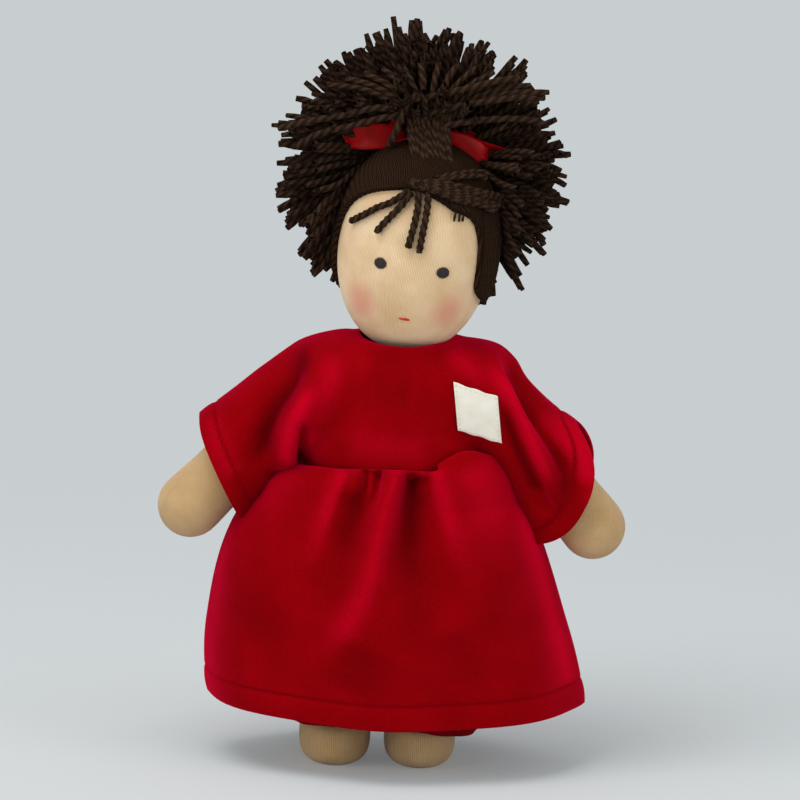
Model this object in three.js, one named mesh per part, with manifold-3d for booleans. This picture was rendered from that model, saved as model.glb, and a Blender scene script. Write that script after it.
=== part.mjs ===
// A soft stuffed cloth doll that stands on its own feet: a wool-filled body of fine tricot,
// a yarn wig gathered in a tuft with a ribbon, a velour dress and thin jersey trousers.
// Millimetres, +Z up. The face looks along -Y and the doll's own left hand is on +X.
import * as THREE from "three";
import { mergeVertices } from "three/addons/utils/BufferGeometryUtils.js";
import Module from "manifold-3d";

const wasm = await Module();
wasm.setup();

// Cloth and clearances
const seamGap = 0.3;
const turningGap = 0.5;
const fillingGap = 0.7;
const skinWall = 1.2;
const velourWall = 1.6;
const jerseyWall = 1.0;
const ribbonWall = 0.8;
const labelWall = 0.8;
const stitchHeight = 0.8;

// Where the body stands in the outline box, and how far the neck leans to the doll's left
const bodyForward = 13.2;
const bodySideways = -3.1;
const bodyLean = 6;

// Heights above the floor
const neckHeight = 200;
const necklineRise = 3;
const torsoTopDrop = 9;
const shoulderDrop = 19;
const waistSeamDrop = 53;
const hipHeight = 98;
const hipStripLength = 5.5;
const skirtHemHeight = 30;
const trouserHemHeight = 17;
const necklineHeight = neckHeight + necklineRise;
const torsoTopHeight = neckHeight - torsoTopDrop;
const shoulderHeight = neckHeight - shoulderDrop;
const waistSeamHeight = neckHeight - waistSeamDrop;
const legHingeHeight = hipHeight - hipStripLength;

// Torso, from the flat stitched hip line to the neck
const torsoHipHalfWidth = 29;
const torsoHipHalfDepth = 2.6;
const torsoBellyHalfWidth = 33;
const torsoBellyHalfDepth = 26;
const torsoChestHalfWidth = 26.5;
const torsoChestHalfDepth = 22;
const torsoTopRadius = 15;
const torsoFullness = 2.2;
const neckTieThickness = 2;

// Head, measured up from the foot of its own tilted axis
const headTilt = THREE.MathUtils.degToRad(6.5);
const headTurn = THREE.MathUtils.degToRad(-4.5);
const headBottom = -3;
const headTop = 95.5;
const headHalfWidth = 36.3;
const headHalfDepth = 36;
const headFullness = 2.15;
const neckRadius = 12.5;
const neckFoot = -20;
const neckInsideHead = 14;
const poleRadius = 0.8;

// Face, sewn on the front of the head
const eyeHeight = 43;
const eyeSpacing = 29.6;
const eyeDiameter = 6;
const mouthHeight = 17.8;
const mouthWidth = 5.4;
const mouthThickness = 1.5;

// Wig: an embroidered cap and a tuft of loose yarn behind the crown
const capWall = 3.2;
const hairlineHeight = 82;
const hairlineCornerHeight = 76;
const templeHeight = 58;
const cheekboneHeight = 48;
const sideburnHeight = 30;
const hairlineHalfWidth = 33.5;
const sideburnFlare = 4.5;
const cheekboneFlare = 2;
const hairlineCornerInset = 4;
const hairlineCornerRadius = 15;
const hairlineArch = 1.5;
const napeHeight = 16;
const tuftFootRadius = 33;
const tuftRadius = 60;
const tuftHalfHeight = 53;
const tuftReach = 70;
const tuftWall = 1.5;
const fallWall = 3;
const fallFront = 4;
const domeRise = 2;
const tuftSideways = -4;
const tuftBack = 32;
const tuftHeight = 80;
const tuftFlatBehind = 0.1;
const tuftLocks = 90;
const lockRadius = 5;
const lockUnevenness = 3;
const yarnDiameter = 3.4;
const knotDiameter = 6.5;
const knotSideways = 1.5;
const knotRise = 2;

// Satin ribbon round the foot of the tuft, tied in a bow over the crown
const ribbonWidth = 10;
const ribbonRise = 2;
const ribbonLoopLength = { left: 25, right: 34 };
const ribbonLoopDroop = { left: 75, right: 90 };
const ribbonLoopHeight = 5;
const ribbonTailLength = { left: 33, right: 26 };
const ribbonKnotLength = 11;
const ribbonKnotRise = 3.2;

// Arms, each a bent roll that is sewn to the shoulder
const armRadius = 15.4;
const armRootRadius = 12.5;
const armReach = 57.5;
const armDrop = 62;
const elbowReach = 30;
const elbowDrop = 33;
const wristNarrowing = 0.05;
const leftArmLowered = THREE.MathUtils.degToRad(4);
const rightArmLowered = 0;

// Legs and feet
const legSpacing = 40;
const legRadius = 15;
const legTopInset = 1.5;
const legTopHalfDepth = 2.4;
const ankleRadius = 13.8;
const hipStripDepth = 3;
const footHalfWidth = 16.8;
const footLength = 54;
const footHeight = 29;
const footForward = 1;
const footFullness = 3.5;
const soleCut = 1.2;

// Dress
const neckHalfWidth = 28.8;
const neckHalfDepth = 28.2;
const bodiceHalfWidth = 43;
const bodiceHalfDepth = 37;
const dressFullness = 2.1;
const armholeReach = 50;
const shoulderNeckDrop = 1;
const shoulderSeamInset = 2;
const shoulderSeamRise = 21.5;
const sleeveMiddleShare = 0.7;
const sleeveMiddleRise = 5;
const sleeveTopReach = 96;
const sleeveTopDrop = 25;
const armpitRise = 2.4;
const sleeveInnerReach = 58;
const sleeveInnerDrop = 43.5;
const sleeveUnderReach = 71;
const sleeveUnderDrop = 66;
const sleeveRootHalfDepth = 31;
const sleeveHalfDepth = 18.5;
const sleeveFullness = 2.2;
const sleeveHemRound = 5;
const skirtTopHalfWidth = 43.5;
const skirtTopHalfDepth = 37.5;
const skirtHemHalfWidth = 89;
const skirtHemHalfDepth = 62;
const skirtHemSideways = 7.5;
const skirtFlare = 1.95;
const skirtBelly = 5;
const skirtHemSag = 3;
const foldCount = 11;
const foldDepth = 2.4;
const gatherDepth = 2.6;
const bindingThickness = 3.2;
const labelWidth = 22;
const labelHeight = 23.4;
const labelSideways = 36.5;
const labelMiddleHeight = 174;
const labelTurn = THREE.MathUtils.degToRad(-17);
const labelSlant = THREE.MathUtils.degToRad(-7.5);
const backSlitLength = 42;
const backSlitWidth = 1;
const buttonDiameter = 9;
const buttonThickness = 2.2;

// Trousers
const trouserEase = 3.8;
const trouserHipEase = 9.8;
const trouserFullness = 2.3;
const waistbandHeight = 134;
const elasticThickness = 1.8;
const elasticWidth = 6;
const crotchDrop = 12;
const trouserLegHalfWidth = 21.4;
const trouserLegHalfDepth = 18;
const trouserHemHalfDepth = 29.5;
const trouserHemForward = 1.5;
const trouserLegSideways = 22.2;
const crotchHeight = hipHeight - crotchDrop;

// Longer than the doll in every direction, for blocks that cut right through
const wide = 400;

// How far a hollow's cutting form runs past the rim that it opens
const pastRim = 4;

// Points round a section and rings along a form: as few as keep each outline round
const hoopSides = 20;
const torsoSides = 20;
const torsoRings = 9;
const neckSides = 24;
const headSteps = 12;
const headSides = 20;
const faceSteps = 36;
const yarnSides = 22;
const innerYarnSides = 16;
const footSides = 18;
const loopSteps = 16;
const tailSteps = 6;
const armSides = 14;
const armRings = 9;
const legSides = 12;
const legRings = 5;
const footRings = 8;
const dressSides = 24;
const dressRings = 6;
const sleeveSides = 18;
const trouserSeatSides = 20;
const trouserLegSides = 16;

// Colours
const tricot = cloth(0xd6b88a, 0.95);
const wool = cloth(0xe9e0cd, 1);
const hair = cloth(0x33261f, 0.95);
const velour = cloth(0xa90019, 0.9);
const jersey = cloth(0x7a1020, 0.95);
const satin = cloth(0xc80d18, 0.4);
const cream = cloth(0xe8dfcc, 0.9);
const eyeThread = cloth(0x2b211e, 0.9);
const mouthThread = cloth(0xc01822, 0.8);
const elastic = cloth(0xf2f0ea, 0.8);
const buttonPlastic = cloth(0x8f0d1c, 0.4);

function cloth(color, roughness) {
  return new THREE.MeshStandardMaterial({ color, roughness, metalness: 0 });
}

// A closed geometry with shared vertices becomes a solid, turned the right way out.
function solidOf(geometry) {
  const bare = geometry.clone();
  bare.deleteAttribute("normal");
  bare.deleteAttribute("uv");
  const merged = mergeVertices(bare, 1e-4);
  const build = (triVerts) =>
    new wasm.Manifold(
      new wasm.Mesh({
        numProp: 3,
        vertProperties: merged.attributes.position.array,
        triVerts,
      }),
    );
  const faces = new Uint32Array(merged.index.array);
  const made = build(faces);
  return made.volume() > 0 ? made : build(faces.reverse());
}

// A solid becomes a geometry that a mesh can show.
function geometryOf(solid) {
  const { numProp, vertProperties, triVerts } = solid.getMesh();
  const places = [];
  for (let i = 0; i < vertProperties.length; i += numProp) {
    places.push(...vertProperties.slice(i, i + 3));
  }
  const geometry = new THREE.BufferGeometry();
  geometry.setAttribute("position", new THREE.Float32BufferAttribute(places, 3));
  geometry.setIndex(Array.from(triVerts));
  geometry.computeVertexNormals();
  return geometry;
}

function part(name, solid, material) {
  const mesh = new THREE.Mesh(geometryOf(solid), material);
  mesh.name = name;
  return mesh;
}

// Rings of points with equal counts are joined into one closed skin. The two end rings
// are closed by fans, or joined to each other when the skin runs round in a loop.
function skinOver(rings, looped = false) {
  const count = rings[0].length;
  const points = rings.flat();
  const faces = [];
  const bands = looped ? rings.length : rings.length - 1;
  for (let r = 0; r < bands; r++) {
    const here = r * count;
    const next = ((r + 1) % rings.length) * count;
    for (let i = 0; i < count; i++) {
      const j = (i + 1) % count;
      faces.push(here + i, here + j, next + j, here + i, next + j, next + i);
    }
  }
  if (!looped) {
    const last = (rings.length - 1) * count;
    points.push(middleOf(rings[0]), middleOf(rings.at(-1)));
    for (let i = 0; i < count; i++) {
      const j = (i + 1) % count;
      faces.push(points.length - 2, j, i);
      faces.push(points.length - 1, last + i, last + j);
    }
  }
  const geometry = new THREE.BufferGeometry().setFromPoints(points);
  geometry.setIndex(faces);
  return solidOf(geometry);
}

function middleOf(ring) {
  const sum = ring.reduce((total, p) => total.add(p), new THREE.Vector3());
  return sum.divideScalar(ring.length);
}

// One point of a rounded outline whose corners fill out as the fullness passes 2.
function roundedPoint(angle, halfWidth, halfDepth, fullness = 2) {
  const bulge = (v) => Math.sign(v) * Math.abs(v) ** (2 / fullness);
  return [
    halfWidth * bulge(Math.cos(angle)),
    halfDepth * bulge(Math.sin(angle)),
  ];
}

function levelRing(x, y, z, halfWidth, halfDepth, count, fullness = 2) {
  return Array.from({ length: count }, (_, i) => {
    const angle = (i / count) * 2 * Math.PI;
    const [u, v] = roundedPoint(angle, halfWidth, halfDepth, fullness);
    return new THREE.Vector3(x + u, y + v, z);
  });
}

// A smooth run of stations, each a height, a half width and a half depth.
function stationCurve(stations, count) {
  const points = stations.map(([z, w, d]) => new THREE.Vector3(w, d, z));
  const curve = new THREE.CatmullRomCurve3(points, false, "centripetal");
  return curve.getPoints(count);
}

function block(x0, x1, y0, y1, z0, z1) {
  const box = new THREE.BoxGeometry(x1 - x0, y1 - y0, z1 - z0);
  box.translate((x0 + x1) / 2, (y0 + y1) / 2, (z0 + z1) / 2);
  return solidOf(box);
}

function leanAt(z) {
  return (bodyLean * z) / neckHeight;
}

// A hoop of flat tape that stands on edge round a rounded outline.
function hoop(x, y, z, halfWidth, halfDepth, thickness, height, fullness = 2) {
  const corners = [
    [thickness, 0],
    [thickness, height],
    [0, height],
    [0, 0],
  ];
  const rings = corners.map(([grow, rise]) =>
    levelRing(x, y, z + rise, halfWidth + grow, halfDepth + grow, hoopSides, fullness),
  );
  return skinOver(rings, true);
}

// The torso swells from the flat hip line to the belly and narrows to the neck.
const torsoFoot = hipHeight + hipStripDepth / 2 + seamGap;

function torsoForm(grow, topExtra = 0, sides = torsoSides) {
  const stations = [
    [torsoFoot, torsoHipHalfWidth, torsoHipHalfDepth],
    [hipHeight + 10, torsoHipHalfWidth + 2, 11],
    [hipHeight + 22, torsoBellyHalfWidth - 0.5, 21],
    [hipHeight + 38, torsoBellyHalfWidth, torsoBellyHalfDepth],
    [shoulderHeight - 18, torsoChestHalfWidth + 2.5, torsoChestHalfDepth + 2],
    [shoulderHeight - 2, torsoChestHalfWidth, torsoChestHalfDepth],
    [shoulderHeight + 7, torsoChestHalfWidth - 5, torsoChestHalfDepth - 3],
    [torsoTopHeight, torsoTopRadius, torsoTopRadius],
  ];
  const rings = stationCurve(stations, torsoRings).map((p) =>
    levelRing(leanAt(p.z), 0, p.z, p.x + grow, p.y + grow, sides, torsoFullness),
  );
  if (topExtra > 0) {
    const z = torsoTopHeight + topExtra;
    const r = torsoTopRadius + grow;
    rings.push(levelRing(leanAt(z), 0, z, r, r, sides, torsoFullness));
  }
  return skinOver(rings);
}

// Everything on the head is drawn upright and then set on the leaning neck.
const neckPlace = new THREE.Vector3(leanAt(neckHeight), 0, neckHeight);
const headMatrix = new THREE.Matrix4()
  .makeTranslation(neckPlace.x, neckPlace.y, neckPlace.z)
  .multiply(new THREE.Matrix4().makeRotationY(headTilt))
  .multiply(new THREE.Matrix4().makeRotationZ(headTurn));

function onHead(solid) {
  const geometry = geometryOf(solid);
  geometry.applyMatrix4(headMatrix);
  return solidOf(geometry);
}

const headMiddle = (headBottom + headTop) / 2;
const headHalfHeight = (headTop - headBottom) / 2;

// How wide the head is at a height, as a share of its widest girth.
function headShare(z, grow) {
  const high = Math.min(1, Math.abs(z - headMiddle) / (headHalfHeight + grow));
  return (1 - high ** headFullness) ** (1 / headFullness);
}

function headForm(grow, steps = headSteps, sides = headSides) {
  const rings = [];
  for (let s = 1; s < steps; s++) {
    const z = headMiddle - (headHalfHeight + grow) * Math.cos((s / steps) * Math.PI);
    const share = headShare(z, grow);
    rings.push(
      levelRing(
        0,
        0,
        z,
        (headHalfWidth + grow) * share,
        (headHalfDepth + grow) * share,
        sides,
      ),
    );
  }
  const bottom = headMiddle - headHalfHeight - grow;
  const top = headMiddle + headHalfHeight + grow;
  rings.unshift(levelRing(0, 0, bottom, poleRadius, poleRadius, sides));
  rings.push(levelRing(0, 0, top, poleRadius, poleRadius, sides));
  return skinOver(rings);
}

function neckForm(grow, bottom, top) {
  const radius = neckRadius + grow;
  return skinOver([
    levelRing(0, 0, bottom, radius, radius, neckSides),
    levelRing(0, 0, top, radius, radius, neckSides),
  ]);
}

// The place on the front of the head that lies behind a point of the front view.
function facePoint(x, z, lift) {
  const share = headShare(z, lift);
  const across = x / ((headHalfWidth + lift) * share);
  const depth = (headHalfDepth + lift) * share * Math.sqrt(1 - across * across);
  return new THREE.Vector3(x, -depth, z);
}

// A raised patch of stitches: a thin layer over the head inside an outline seen from the front.
function facePatch(outline) {
  const prism = new THREE.ExtrudeGeometry(outline, {
    depth: headHalfDepth * 2,
    bevelEnabled: false,
    curveSegments: 8,
  });
  prism.rotateX(Math.PI / 2);
  const layer = headForm(seamGap + stitchHeight, faceSteps, 2 * faceSteps).subtract(
    headForm(seamGap, faceSteps, 2 * faceSteps),
  );
  return layer.intersect(solidOf(prism));
}

function buildHead() {
  const group = new THREE.Group();
  const neckTop = headBottom + neckInsideHead;
  const skin = headForm(0)
    .add(neckForm(0, neckFoot, neckTop))
    .subtract(headForm(-skinWall))
    .subtract(neckForm(-skinWall, neckFoot - pastRim, neckTop));
  const filling = skinWall + fillingGap;
  const core = headForm(-filling, headSteps / 2, headSides / 2).add(
    neckForm(-filling, neckFoot + fillingGap, neckTop),
  );
  group.add(part("head_skin", onHead(skin), tricot));
  group.add(part("head_wool", onHead(core), wool));

  for (const [name, side] of [["eye_left", 1], ["eye_right", -1]]) {
    const outline = new THREE.Shape().absellipse(
      (side * eyeSpacing) / 2,
      eyeHeight,
      eyeDiameter / 2,
      eyeDiameter / 2,
      0,
      2 * Math.PI,
    );
    group.add(part(name, onHead(facePatch(outline)), eyeThread));
  }
  const lips = new THREE.Shape().absellipse(
    0,
    mouthHeight,
    mouthWidth / 2,
    mouthThickness / 2,
    0,
    2 * Math.PI,
  );
  group.add(part("mouth", onHead(facePatch(lips)), mouthThread));
  return group;
}

// The cap covers the skull outside the face opening and above the nape.
function buildCap() {
  const half = hairlineHalfWidth;
  const cheekbone = half + cheekboneFlare;
  const sideburn = half + sideburnFlare;
  const corner = half - hairlineCornerInset;
  const topCorner = half - hairlineCornerRadius;
  const topEdge = hairlineHeight - hairlineArch;
  const outline = new THREE.Shape();
  outline.moveTo(-wide, -wide);
  outline.lineTo(wide, -wide);
  outline.lineTo(sideburn, sideburnHeight);
  outline.quadraticCurveTo(cheekbone, cheekboneHeight, half, templeHeight);
  outline.quadraticCurveTo(corner, hairlineCornerHeight, topCorner, topEdge);
  outline.quadraticCurveTo(0, hairlineHeight + hairlineArch, -topCorner, topEdge);
  outline.quadraticCurveTo(-corner, hairlineCornerHeight, -half, templeHeight);
  outline.quadraticCurveTo(-cheekbone, cheekboneHeight, -sideburn, sideburnHeight);
  outline.closePath();
  const opening = new THREE.ExtrudeGeometry(outline, {
    depth: headHalfDepth * 2,
    bevelEnabled: false,
    curveSegments: 4,
  });
  opening.rotateX(Math.PI / 2);
  return headForm(seamGap + capWall)
    .subtract(headForm(seamGap))
    .subtract(solidOf(opening))
    .subtract(block(-wide, wide, -wide, wide, -wide, napeHeight));
}

// The tuft's ball sits behind the crown; its axis points up and back, away from the skull.
const tuftCentre = new THREE.Vector3(tuftSideways, tuftBack, tuftHeight);
const skullCentre = new THREE.Vector3(0, 0, headMiddle);
const tuftAxis = tuftCentre.clone().sub(skullCentre).normalize();
const capOuter = seamGap + capWall;

function ballForm(radius, sides = footSides) {
  const ball = new THREE.SphereGeometry(radius, sides, (sides * 2) / 3);
  ball.rotateX(Math.PI / 2);
  ball.translate(tuftCentre.x, tuftCentre.y, tuftCentre.z);
  return solidOf(ball);
}

// One thick lock of yarn from a root inside the tuft to its blunt tip.
function lockOf(root, direction, reach) {
  const lock = new THREE.CylinderGeometry(lockRadius / 2, lockRadius, reach, 4);
  lock.translate(0, reach / 2, 0);
  const turn = new THREE.Quaternion().setFromUnitVectors(
    new THREE.Vector3(0, 1, 0),
    direction,
  );
  lock.applyQuaternion(turn);
  lock.translate(root.x, root.y, root.z);
  return solidOf(lock);
}

// Places round the tuft: an angle from the front of the crown towards the doll's left,
// a distance out from the axis and a distance along it.
const tuftSide = new THREE.Vector3(1, 0, 0).projectOnPlane(tuftAxis).normalize();
const tuftFront = new THREE.Vector3().crossVectors(tuftSide, tuftAxis);

function outwardAt(angle) {
  return tuftFront
    .clone()
    .multiplyScalar(Math.cos(angle))
    .addScaledVector(tuftSide, Math.sin(angle));
}

function roundTuft(angle, radial, along) {
  return tuftCentre
    .clone()
    .addScaledVector(tuftAxis, along)
    .addScaledVector(outwardAt(angle), radial);
}

// Where the ribbon lies along the tuft's axis, measured from the ball's centre.
function ribbonSpan() {
  const apart = tuftCentre.distanceTo(skullCentre);
  const skull = headHalfHeight * 0.62 + headHalfDepth * 0.38 + capOuter;
  const crease = (apart ** 2 + tuftFootRadius ** 2 - skull ** 2) / (2 * apart);
  const foot = ribbonRise - crease;
  return [foot, foot + ribbonWidth];
}

function turnedToTuft(geometry) {
  const turn = new THREE.Quaternion().setFromUnitVectors(
    new THREE.Vector3(0, 1, 0),
    tuftAxis,
  );
  geometry.applyQuaternion(turn);
  geometry.translate(tuftCentre.x, tuftCentre.y, tuftCentre.z);
  return solidOf(geometry);
}

function slabAlongTuft(from, to, radius) {
  const slab = new THREE.CylinderGeometry(radius, radius, to - from, 24);
  slab.translate(0, (from + to) / 2, 0);
  return turnedToTuft(slab);
}

// The yarn's rounded outline, a little flatter along the tuft's axis than across it.
function yarnOutline(grow, sides) {
  const form = new THREE.SphereGeometry(1, sides, (sides * 2) / 3);
  form.scale(tuftRadius + grow, tuftHalfHeight + grow, tuftRadius + grow);
  return turnedToTuft(form);
}

// How far the yarn reaches from the ball's centre: less behind, where it lies flatter.
function yarnReach(direction) {
  const along = direction.dot(tuftAxis);
  const flat = (along * tuftRadius) / tuftHalfHeight;
  const behind = Math.max(0, direction.y);
  const round = tuftReach / Math.hypot(flat, Math.sqrt(1 - along ** 2));
  return round * (1 - tuftFlatBehind * behind);
}

// Above the ribbon the yarn springs out all round. Its ends make a thick outer layer,
// and the middle, where the strands part, is air. Behind, the yarn falls past the ribbon.
function buildTuft() {
  const [, ribbonTop] = ribbonSpan();
  const floor = ribbonTop + domeRise;
  const reach = tuftReach * 2;
  const outline = yarnOutline(0, yarnSides);
  const dome = outline.intersect(slabAlongTuft(floor, reach, reach));
  const fall = outline
    .subtract(yarnOutline(-fallWall, innerYarnSides))
    .intersect(slabAlongTuft(-reach, floor + tuftWall / 2, reach))
    .intersect(block(-reach, reach, fallFront, reach, -reach, reach));
  let tuft = ballForm(tuftFootRadius).add(dome).add(fall);
  const golden = Math.PI * (3 - Math.sqrt(5));
  const lowest = -0.7;
  for (let i = 0; i < tuftLocks; i++) {
    const along = THREE.MathUtils.lerp(1, lowest, (i + 0.5) / tuftLocks);
    const direction = outwardAt(i * golden)
      .multiplyScalar(Math.sqrt(1 - along ** 2))
      .addScaledVector(tuftAxis, along);
    const behindRibbon = direction.y * tuftRadius + tuftBack > fallFront + lockRadius;
    if (along * tuftHalfHeight < floor + lockRadius && !behindRibbon) continue;
    const uneven = lockUnevenness * (i % 3);
    const root = tuftCentre.clone().addScaledVector(direction, tuftHalfHeight - fallWall);
    const length = yarnReach(direction) - uneven - tuftHalfHeight + fallWall;
    tuft = tuft.add(lockOf(root, direction, length));
  }
  const air = yarnOutline(-tuftWall, innerYarnSides)
    .intersect(slabAlongTuft(floor + tuftWall, reach, reach))
    .add(ballForm(tuftFootRadius - tuftWall, (footSides * 2) / 3));
  return tuft.subtract(air);
}

// The ribbon is a strip of the ball's own surface, so it lies flat against the yarn.
function buildRibbonBand(skull) {
  const [foot, top] = ribbonSpan();
  return ballForm(tuftFootRadius + seamGap + ribbonWall)
    .subtract(ballForm(tuftFootRadius + seamGap))
    .intersect(slabAlongTuft(foot, top, tuftReach))
    .subtract(skull);
}

// Where a bow's ribbon starts, over the front of the band.
function bowSeat() {
  const [foot, top] = ribbonSpan();
  const band = tuftFootRadius + 2 * seamGap + ribbonWall;
  return roundTuft(0, band, (foot + top) / 2);
}

// A strip of ribbon on edge along places given as [distance sideways, height over the band].
function ribbonStrip(places, looped) {
  const points = places.map(([sideways, rise]) =>
    bowSeat().addScaledVector(tuftSide, sideways).addScaledVector(tuftFront, rise),
  );
  const count = points.length;
  const rings = points.map((centre, i) => {
    const before = points[looped ? (i + count - 1) % count : Math.max(i - 1, 0)];
    const after = points[looped ? (i + 1) % count : Math.min(i + 1, count - 1)];
    const along = after.clone().sub(before).normalize();
    const outward = new THREE.Vector3().crossVectors(tuftAxis, along).normalize();
    return [[-1, -1], [1, -1], [1, 1], [-1, 1]].map(([u, v]) =>
      centre
        .clone()
        .addScaledVector(tuftAxis, (u * ribbonWidth) / 2)
        .addScaledVector(outward, (v * ribbonWall) / 2),
    );
  });
  return skinOver(rings, looped);
}

function buildRibbonBow() {
  const group = new THREE.Group();
  const knotHalf = ribbonKnotLength / 2;
  const knot = new THREE.SphereGeometry(1, 14, 10);
  knot.scale(knotHalf, ribbonKnotRise, knotHalf);
  knot.applyQuaternion(
    new THREE.Quaternion().setFromUnitVectors(new THREE.Vector3(0, 1, 0), tuftFront),
  );
  const seat = bowSeat().addScaledVector(tuftFront, ribbonKnotRise);
  knot.translate(seat.x, seat.y, seat.z);
  group.add(part("ribbon_knot", onHead(solidOf(knot)), satin));

  const tailRise = ribbonLoopHeight + ribbonWall + seamGap;
  const overKnot = (tailRise - ribbonWall / 2 - ribbonKnotRise) / ribbonKnotRise;
  const tailStart = knotHalf * Math.sqrt(1 - overKnot ** 2) + seamGap;
  for (const [name, side] of [["left", 1], ["right", -1]]) {
    const half = ribbonLoopLength[name] / 2;
    const lift = ribbonLoopHeight / 2;
    const loop = Array.from({ length: loopSteps }, (_, i) => {
      const turn = (i / loopSteps) * 2 * Math.PI;
      const out = knotHalf + seamGap + ribbonWall / 2 + half * (1 - Math.cos(turn));
      const droop = out ** 2 / (2 * ribbonLoopDroop[name]);
      return [side * out, ribbonWall / 2 + lift * (1 + Math.sin(turn)) - droop];
    });
    group.add(part(`ribbon_loop_${name}`, onHead(ribbonStrip(loop, true)), satin));
    const tail = Array.from({ length: tailSteps + 1 }, (_, i) => {
      const out = tailStart + (ribbonTailLength[name] * i) / tailSteps;
      return [side * out, tailRise - out ** 2 / (3 * ribbonLoopDroop[name])];
    });
    group.add(part(`ribbon_tail_${name}`, onHead(ribbonStrip(tail, false)), satin));
  }
  return group;
}

function buildWig() {
  const group = new THREE.Group();
  const skull = headForm(capOuter + seamGap);
  group.add(part("hair_cap", onHead(buildCap()), hair));
  group.add(part("hair_tuft", onHead(buildTuft().subtract(skull)), hair));
  group.add(part("ribbon_band", onHead(buildRibbonBand(skull)), satin));
  group.add(buildRibbonBow());
  return group;
}

// A strand of yarn that lies on the face or the cap along points of the front view.
function strandOf(points) {
  const places = points.map(([x, z, lift]) => facePoint(x, z, lift));
  const curve = new THREE.CatmullRomCurve3(places, false, "centripetal");
  const outline = new THREE.Shape().absarc(0, 0, yarnDiameter / 2, 0, 2 * Math.PI);
  const tube = new THREE.ExtrudeGeometry(outline, {
    steps: 8,
    extrudePath: curve,
    curveSegments: 3,
    bevelEnabled: false,
  });
  return solidOf(tube);
}

function buildFringe() {
  const group = new THREE.Group();
  const lift = 1.5 * seamGap + yarnDiameter / 2;
  const onCap = capOuter + lift;
  const strands = [
    [[-3, 79, lift], [-13, 74, lift], [-21, 68, lift], [-28, 63, lift]],
    [[-0.6, 77, lift], [-7, 69, lift], [-13, 62.5, lift], [-19, 57.5, lift]],
    [[3, 76.6, lift], [2.2, 68, lift], [0.2, 60, lift], [-2, 52.5, lift]],
    [[7.4, 76.2, lift], [6.8, 68, lift], [5.2, 60, lift], [3.6, 50, lift]],
    [[6.5, 84, onCap], [15, 82, onCap], [24, 78.5, onCap], [31, 74, onCap]],
  ];
  strands.forEach((points, i) => {
    group.add(part(`fringe_strand_${i + 1}`, onHead(strandOf(points)), hair));
  });
  const knot = new THREE.SphereGeometry(knotDiameter / 2, 12, 8);
  const knotLift = capOuter + seamGap + knotDiameter / 2;
  const { x, y, z } = facePoint(knotSideways, hairlineHeight + knotRise, knotLift);
  knot.translate(x, y, z);
  group.add(part("fringe_knot", onHead(solidOf(knot)), hair));
  return group;
}

// An arm is a bent roll: round at the shoulder, a little thicker at the hand.
function armCurve(side) {
  return new THREE.QuadraticBezierCurve3(
    new THREE.Vector3(0, 0, 0),
    new THREE.Vector3(side * elbowReach, 0, -elbowDrop),
    new THREE.Vector3(side * armReach, 0, -armDrop),
  );
}

function shoulderPlace(side) {
  const out = torsoChestHalfWidth + armRootRadius + turningGap;
  return new THREE.Vector3(
    leanAt(shoulderHeight) + side * out,
    0,
    shoulderHeight,
  );
}

function armForm(side, grow, sides = armSides, rootOpen = false) {
  const curve = armCurve(side);
  const length = curve.getLength();
  const rings = [];
  const start = -armRootRadius - grow;
  const end = length + armRadius + grow;
  for (let s = 0; s <= armRings; s++) {
    const along = start + ((end - start) * (1 - Math.cos((s / armRings) * Math.PI))) / 2;
    const t = THREE.MathUtils.clamp(along / length, 0, 1);
    const centre = curve.getPointAt(t);
    const tangent = curve.getTangentAt(t);
    const past = along - t * length;
    centre.addScaledVector(tangent, past);
    const girth = THREE.MathUtils.lerp(armRootRadius, armRadius, Math.min(1, t * 1.6));
    const wrist = Math.sin(Math.PI * THREE.MathUtils.clamp(t * 2 - 1, 0, 1));
    const full = girth * (1 - wristNarrowing * wrist) + grow;
    const round = Math.sqrt(Math.max(0, 1 - (past / full) ** 2));
    const radius = Math.max(full * round, poleRadius);
    const upward = new THREE.Vector3(-tangent.z, 0, tangent.x);
    rings.push(
      Array.from({ length: sides }, (_, i) => {
        const turn = (i / sides) * 2 * Math.PI;
        return centre
          .clone()
          .addScaledVector(upward, radius * Math.cos(turn))
          .add(new THREE.Vector3(0, radius * Math.sin(turn), 0));
      }),
    );
  }
  const solid = skinOver(rings);
  if (!rootOpen) return solid;
  const inside = side > 0 ? [-armRootRadius * 2, 0] : [0, armRootRadius * 2];
  const slot = armRootRadius / 2;
  const hole = block(...inside, -slot, slot, -slot, slot);
  return solid.add(hole);
}

function buildArm(name, side, lowered) {
  const group = new THREE.Group();
  group.position.copy(shoulderPlace(side));
  group.rotation.y = side * lowered;
  const filling = skinWall + fillingGap;
  const skin = armForm(side, 0).subtract(armForm(side, -skinWall, armSides, true));
  group.add(part(`${name}_skin`, skin, tricot));
  group.add(part(`${name}_stuffing`, armForm(side, -filling, armSides / 2), wool));
  return group;
}

// A leg hangs from the hip strip: a flat sewn top, a round shin and a foot turned forward.
const legTop = legHingeHeight - hipStripDepth / 2 - seamGap;

function legForm(side, grow, topExtra = 0, sides = legSides) {
  const x = (side * legSpacing) / 2;
  const stations = [
    [footHeight / 2, ankleRadius, ankleRadius],
    [footHeight + 8, ankleRadius + 0.4, ankleRadius + 0.4],
    [legTop - 34, legRadius, legRadius],
    [legTop - 16, legRadius, legRadius - 2.5],
    [legTop, legRadius - legTopInset, legTopHalfDepth],
  ];
  const rings = stationCurve(stations, legRings).map((p) =>
    levelRing(x, 0, p.z, p.x + grow, p.y + grow, sides),
  );
  if (topExtra > 0) {
    const width = legRadius - legTopInset + grow;
    rings.push(levelRing(x, 0, legTop + topExtra, width, legTopHalfDepth + grow, sides));
  }
  return skinOver(rings).add(footForm(x, grow, sides));
}

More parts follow.
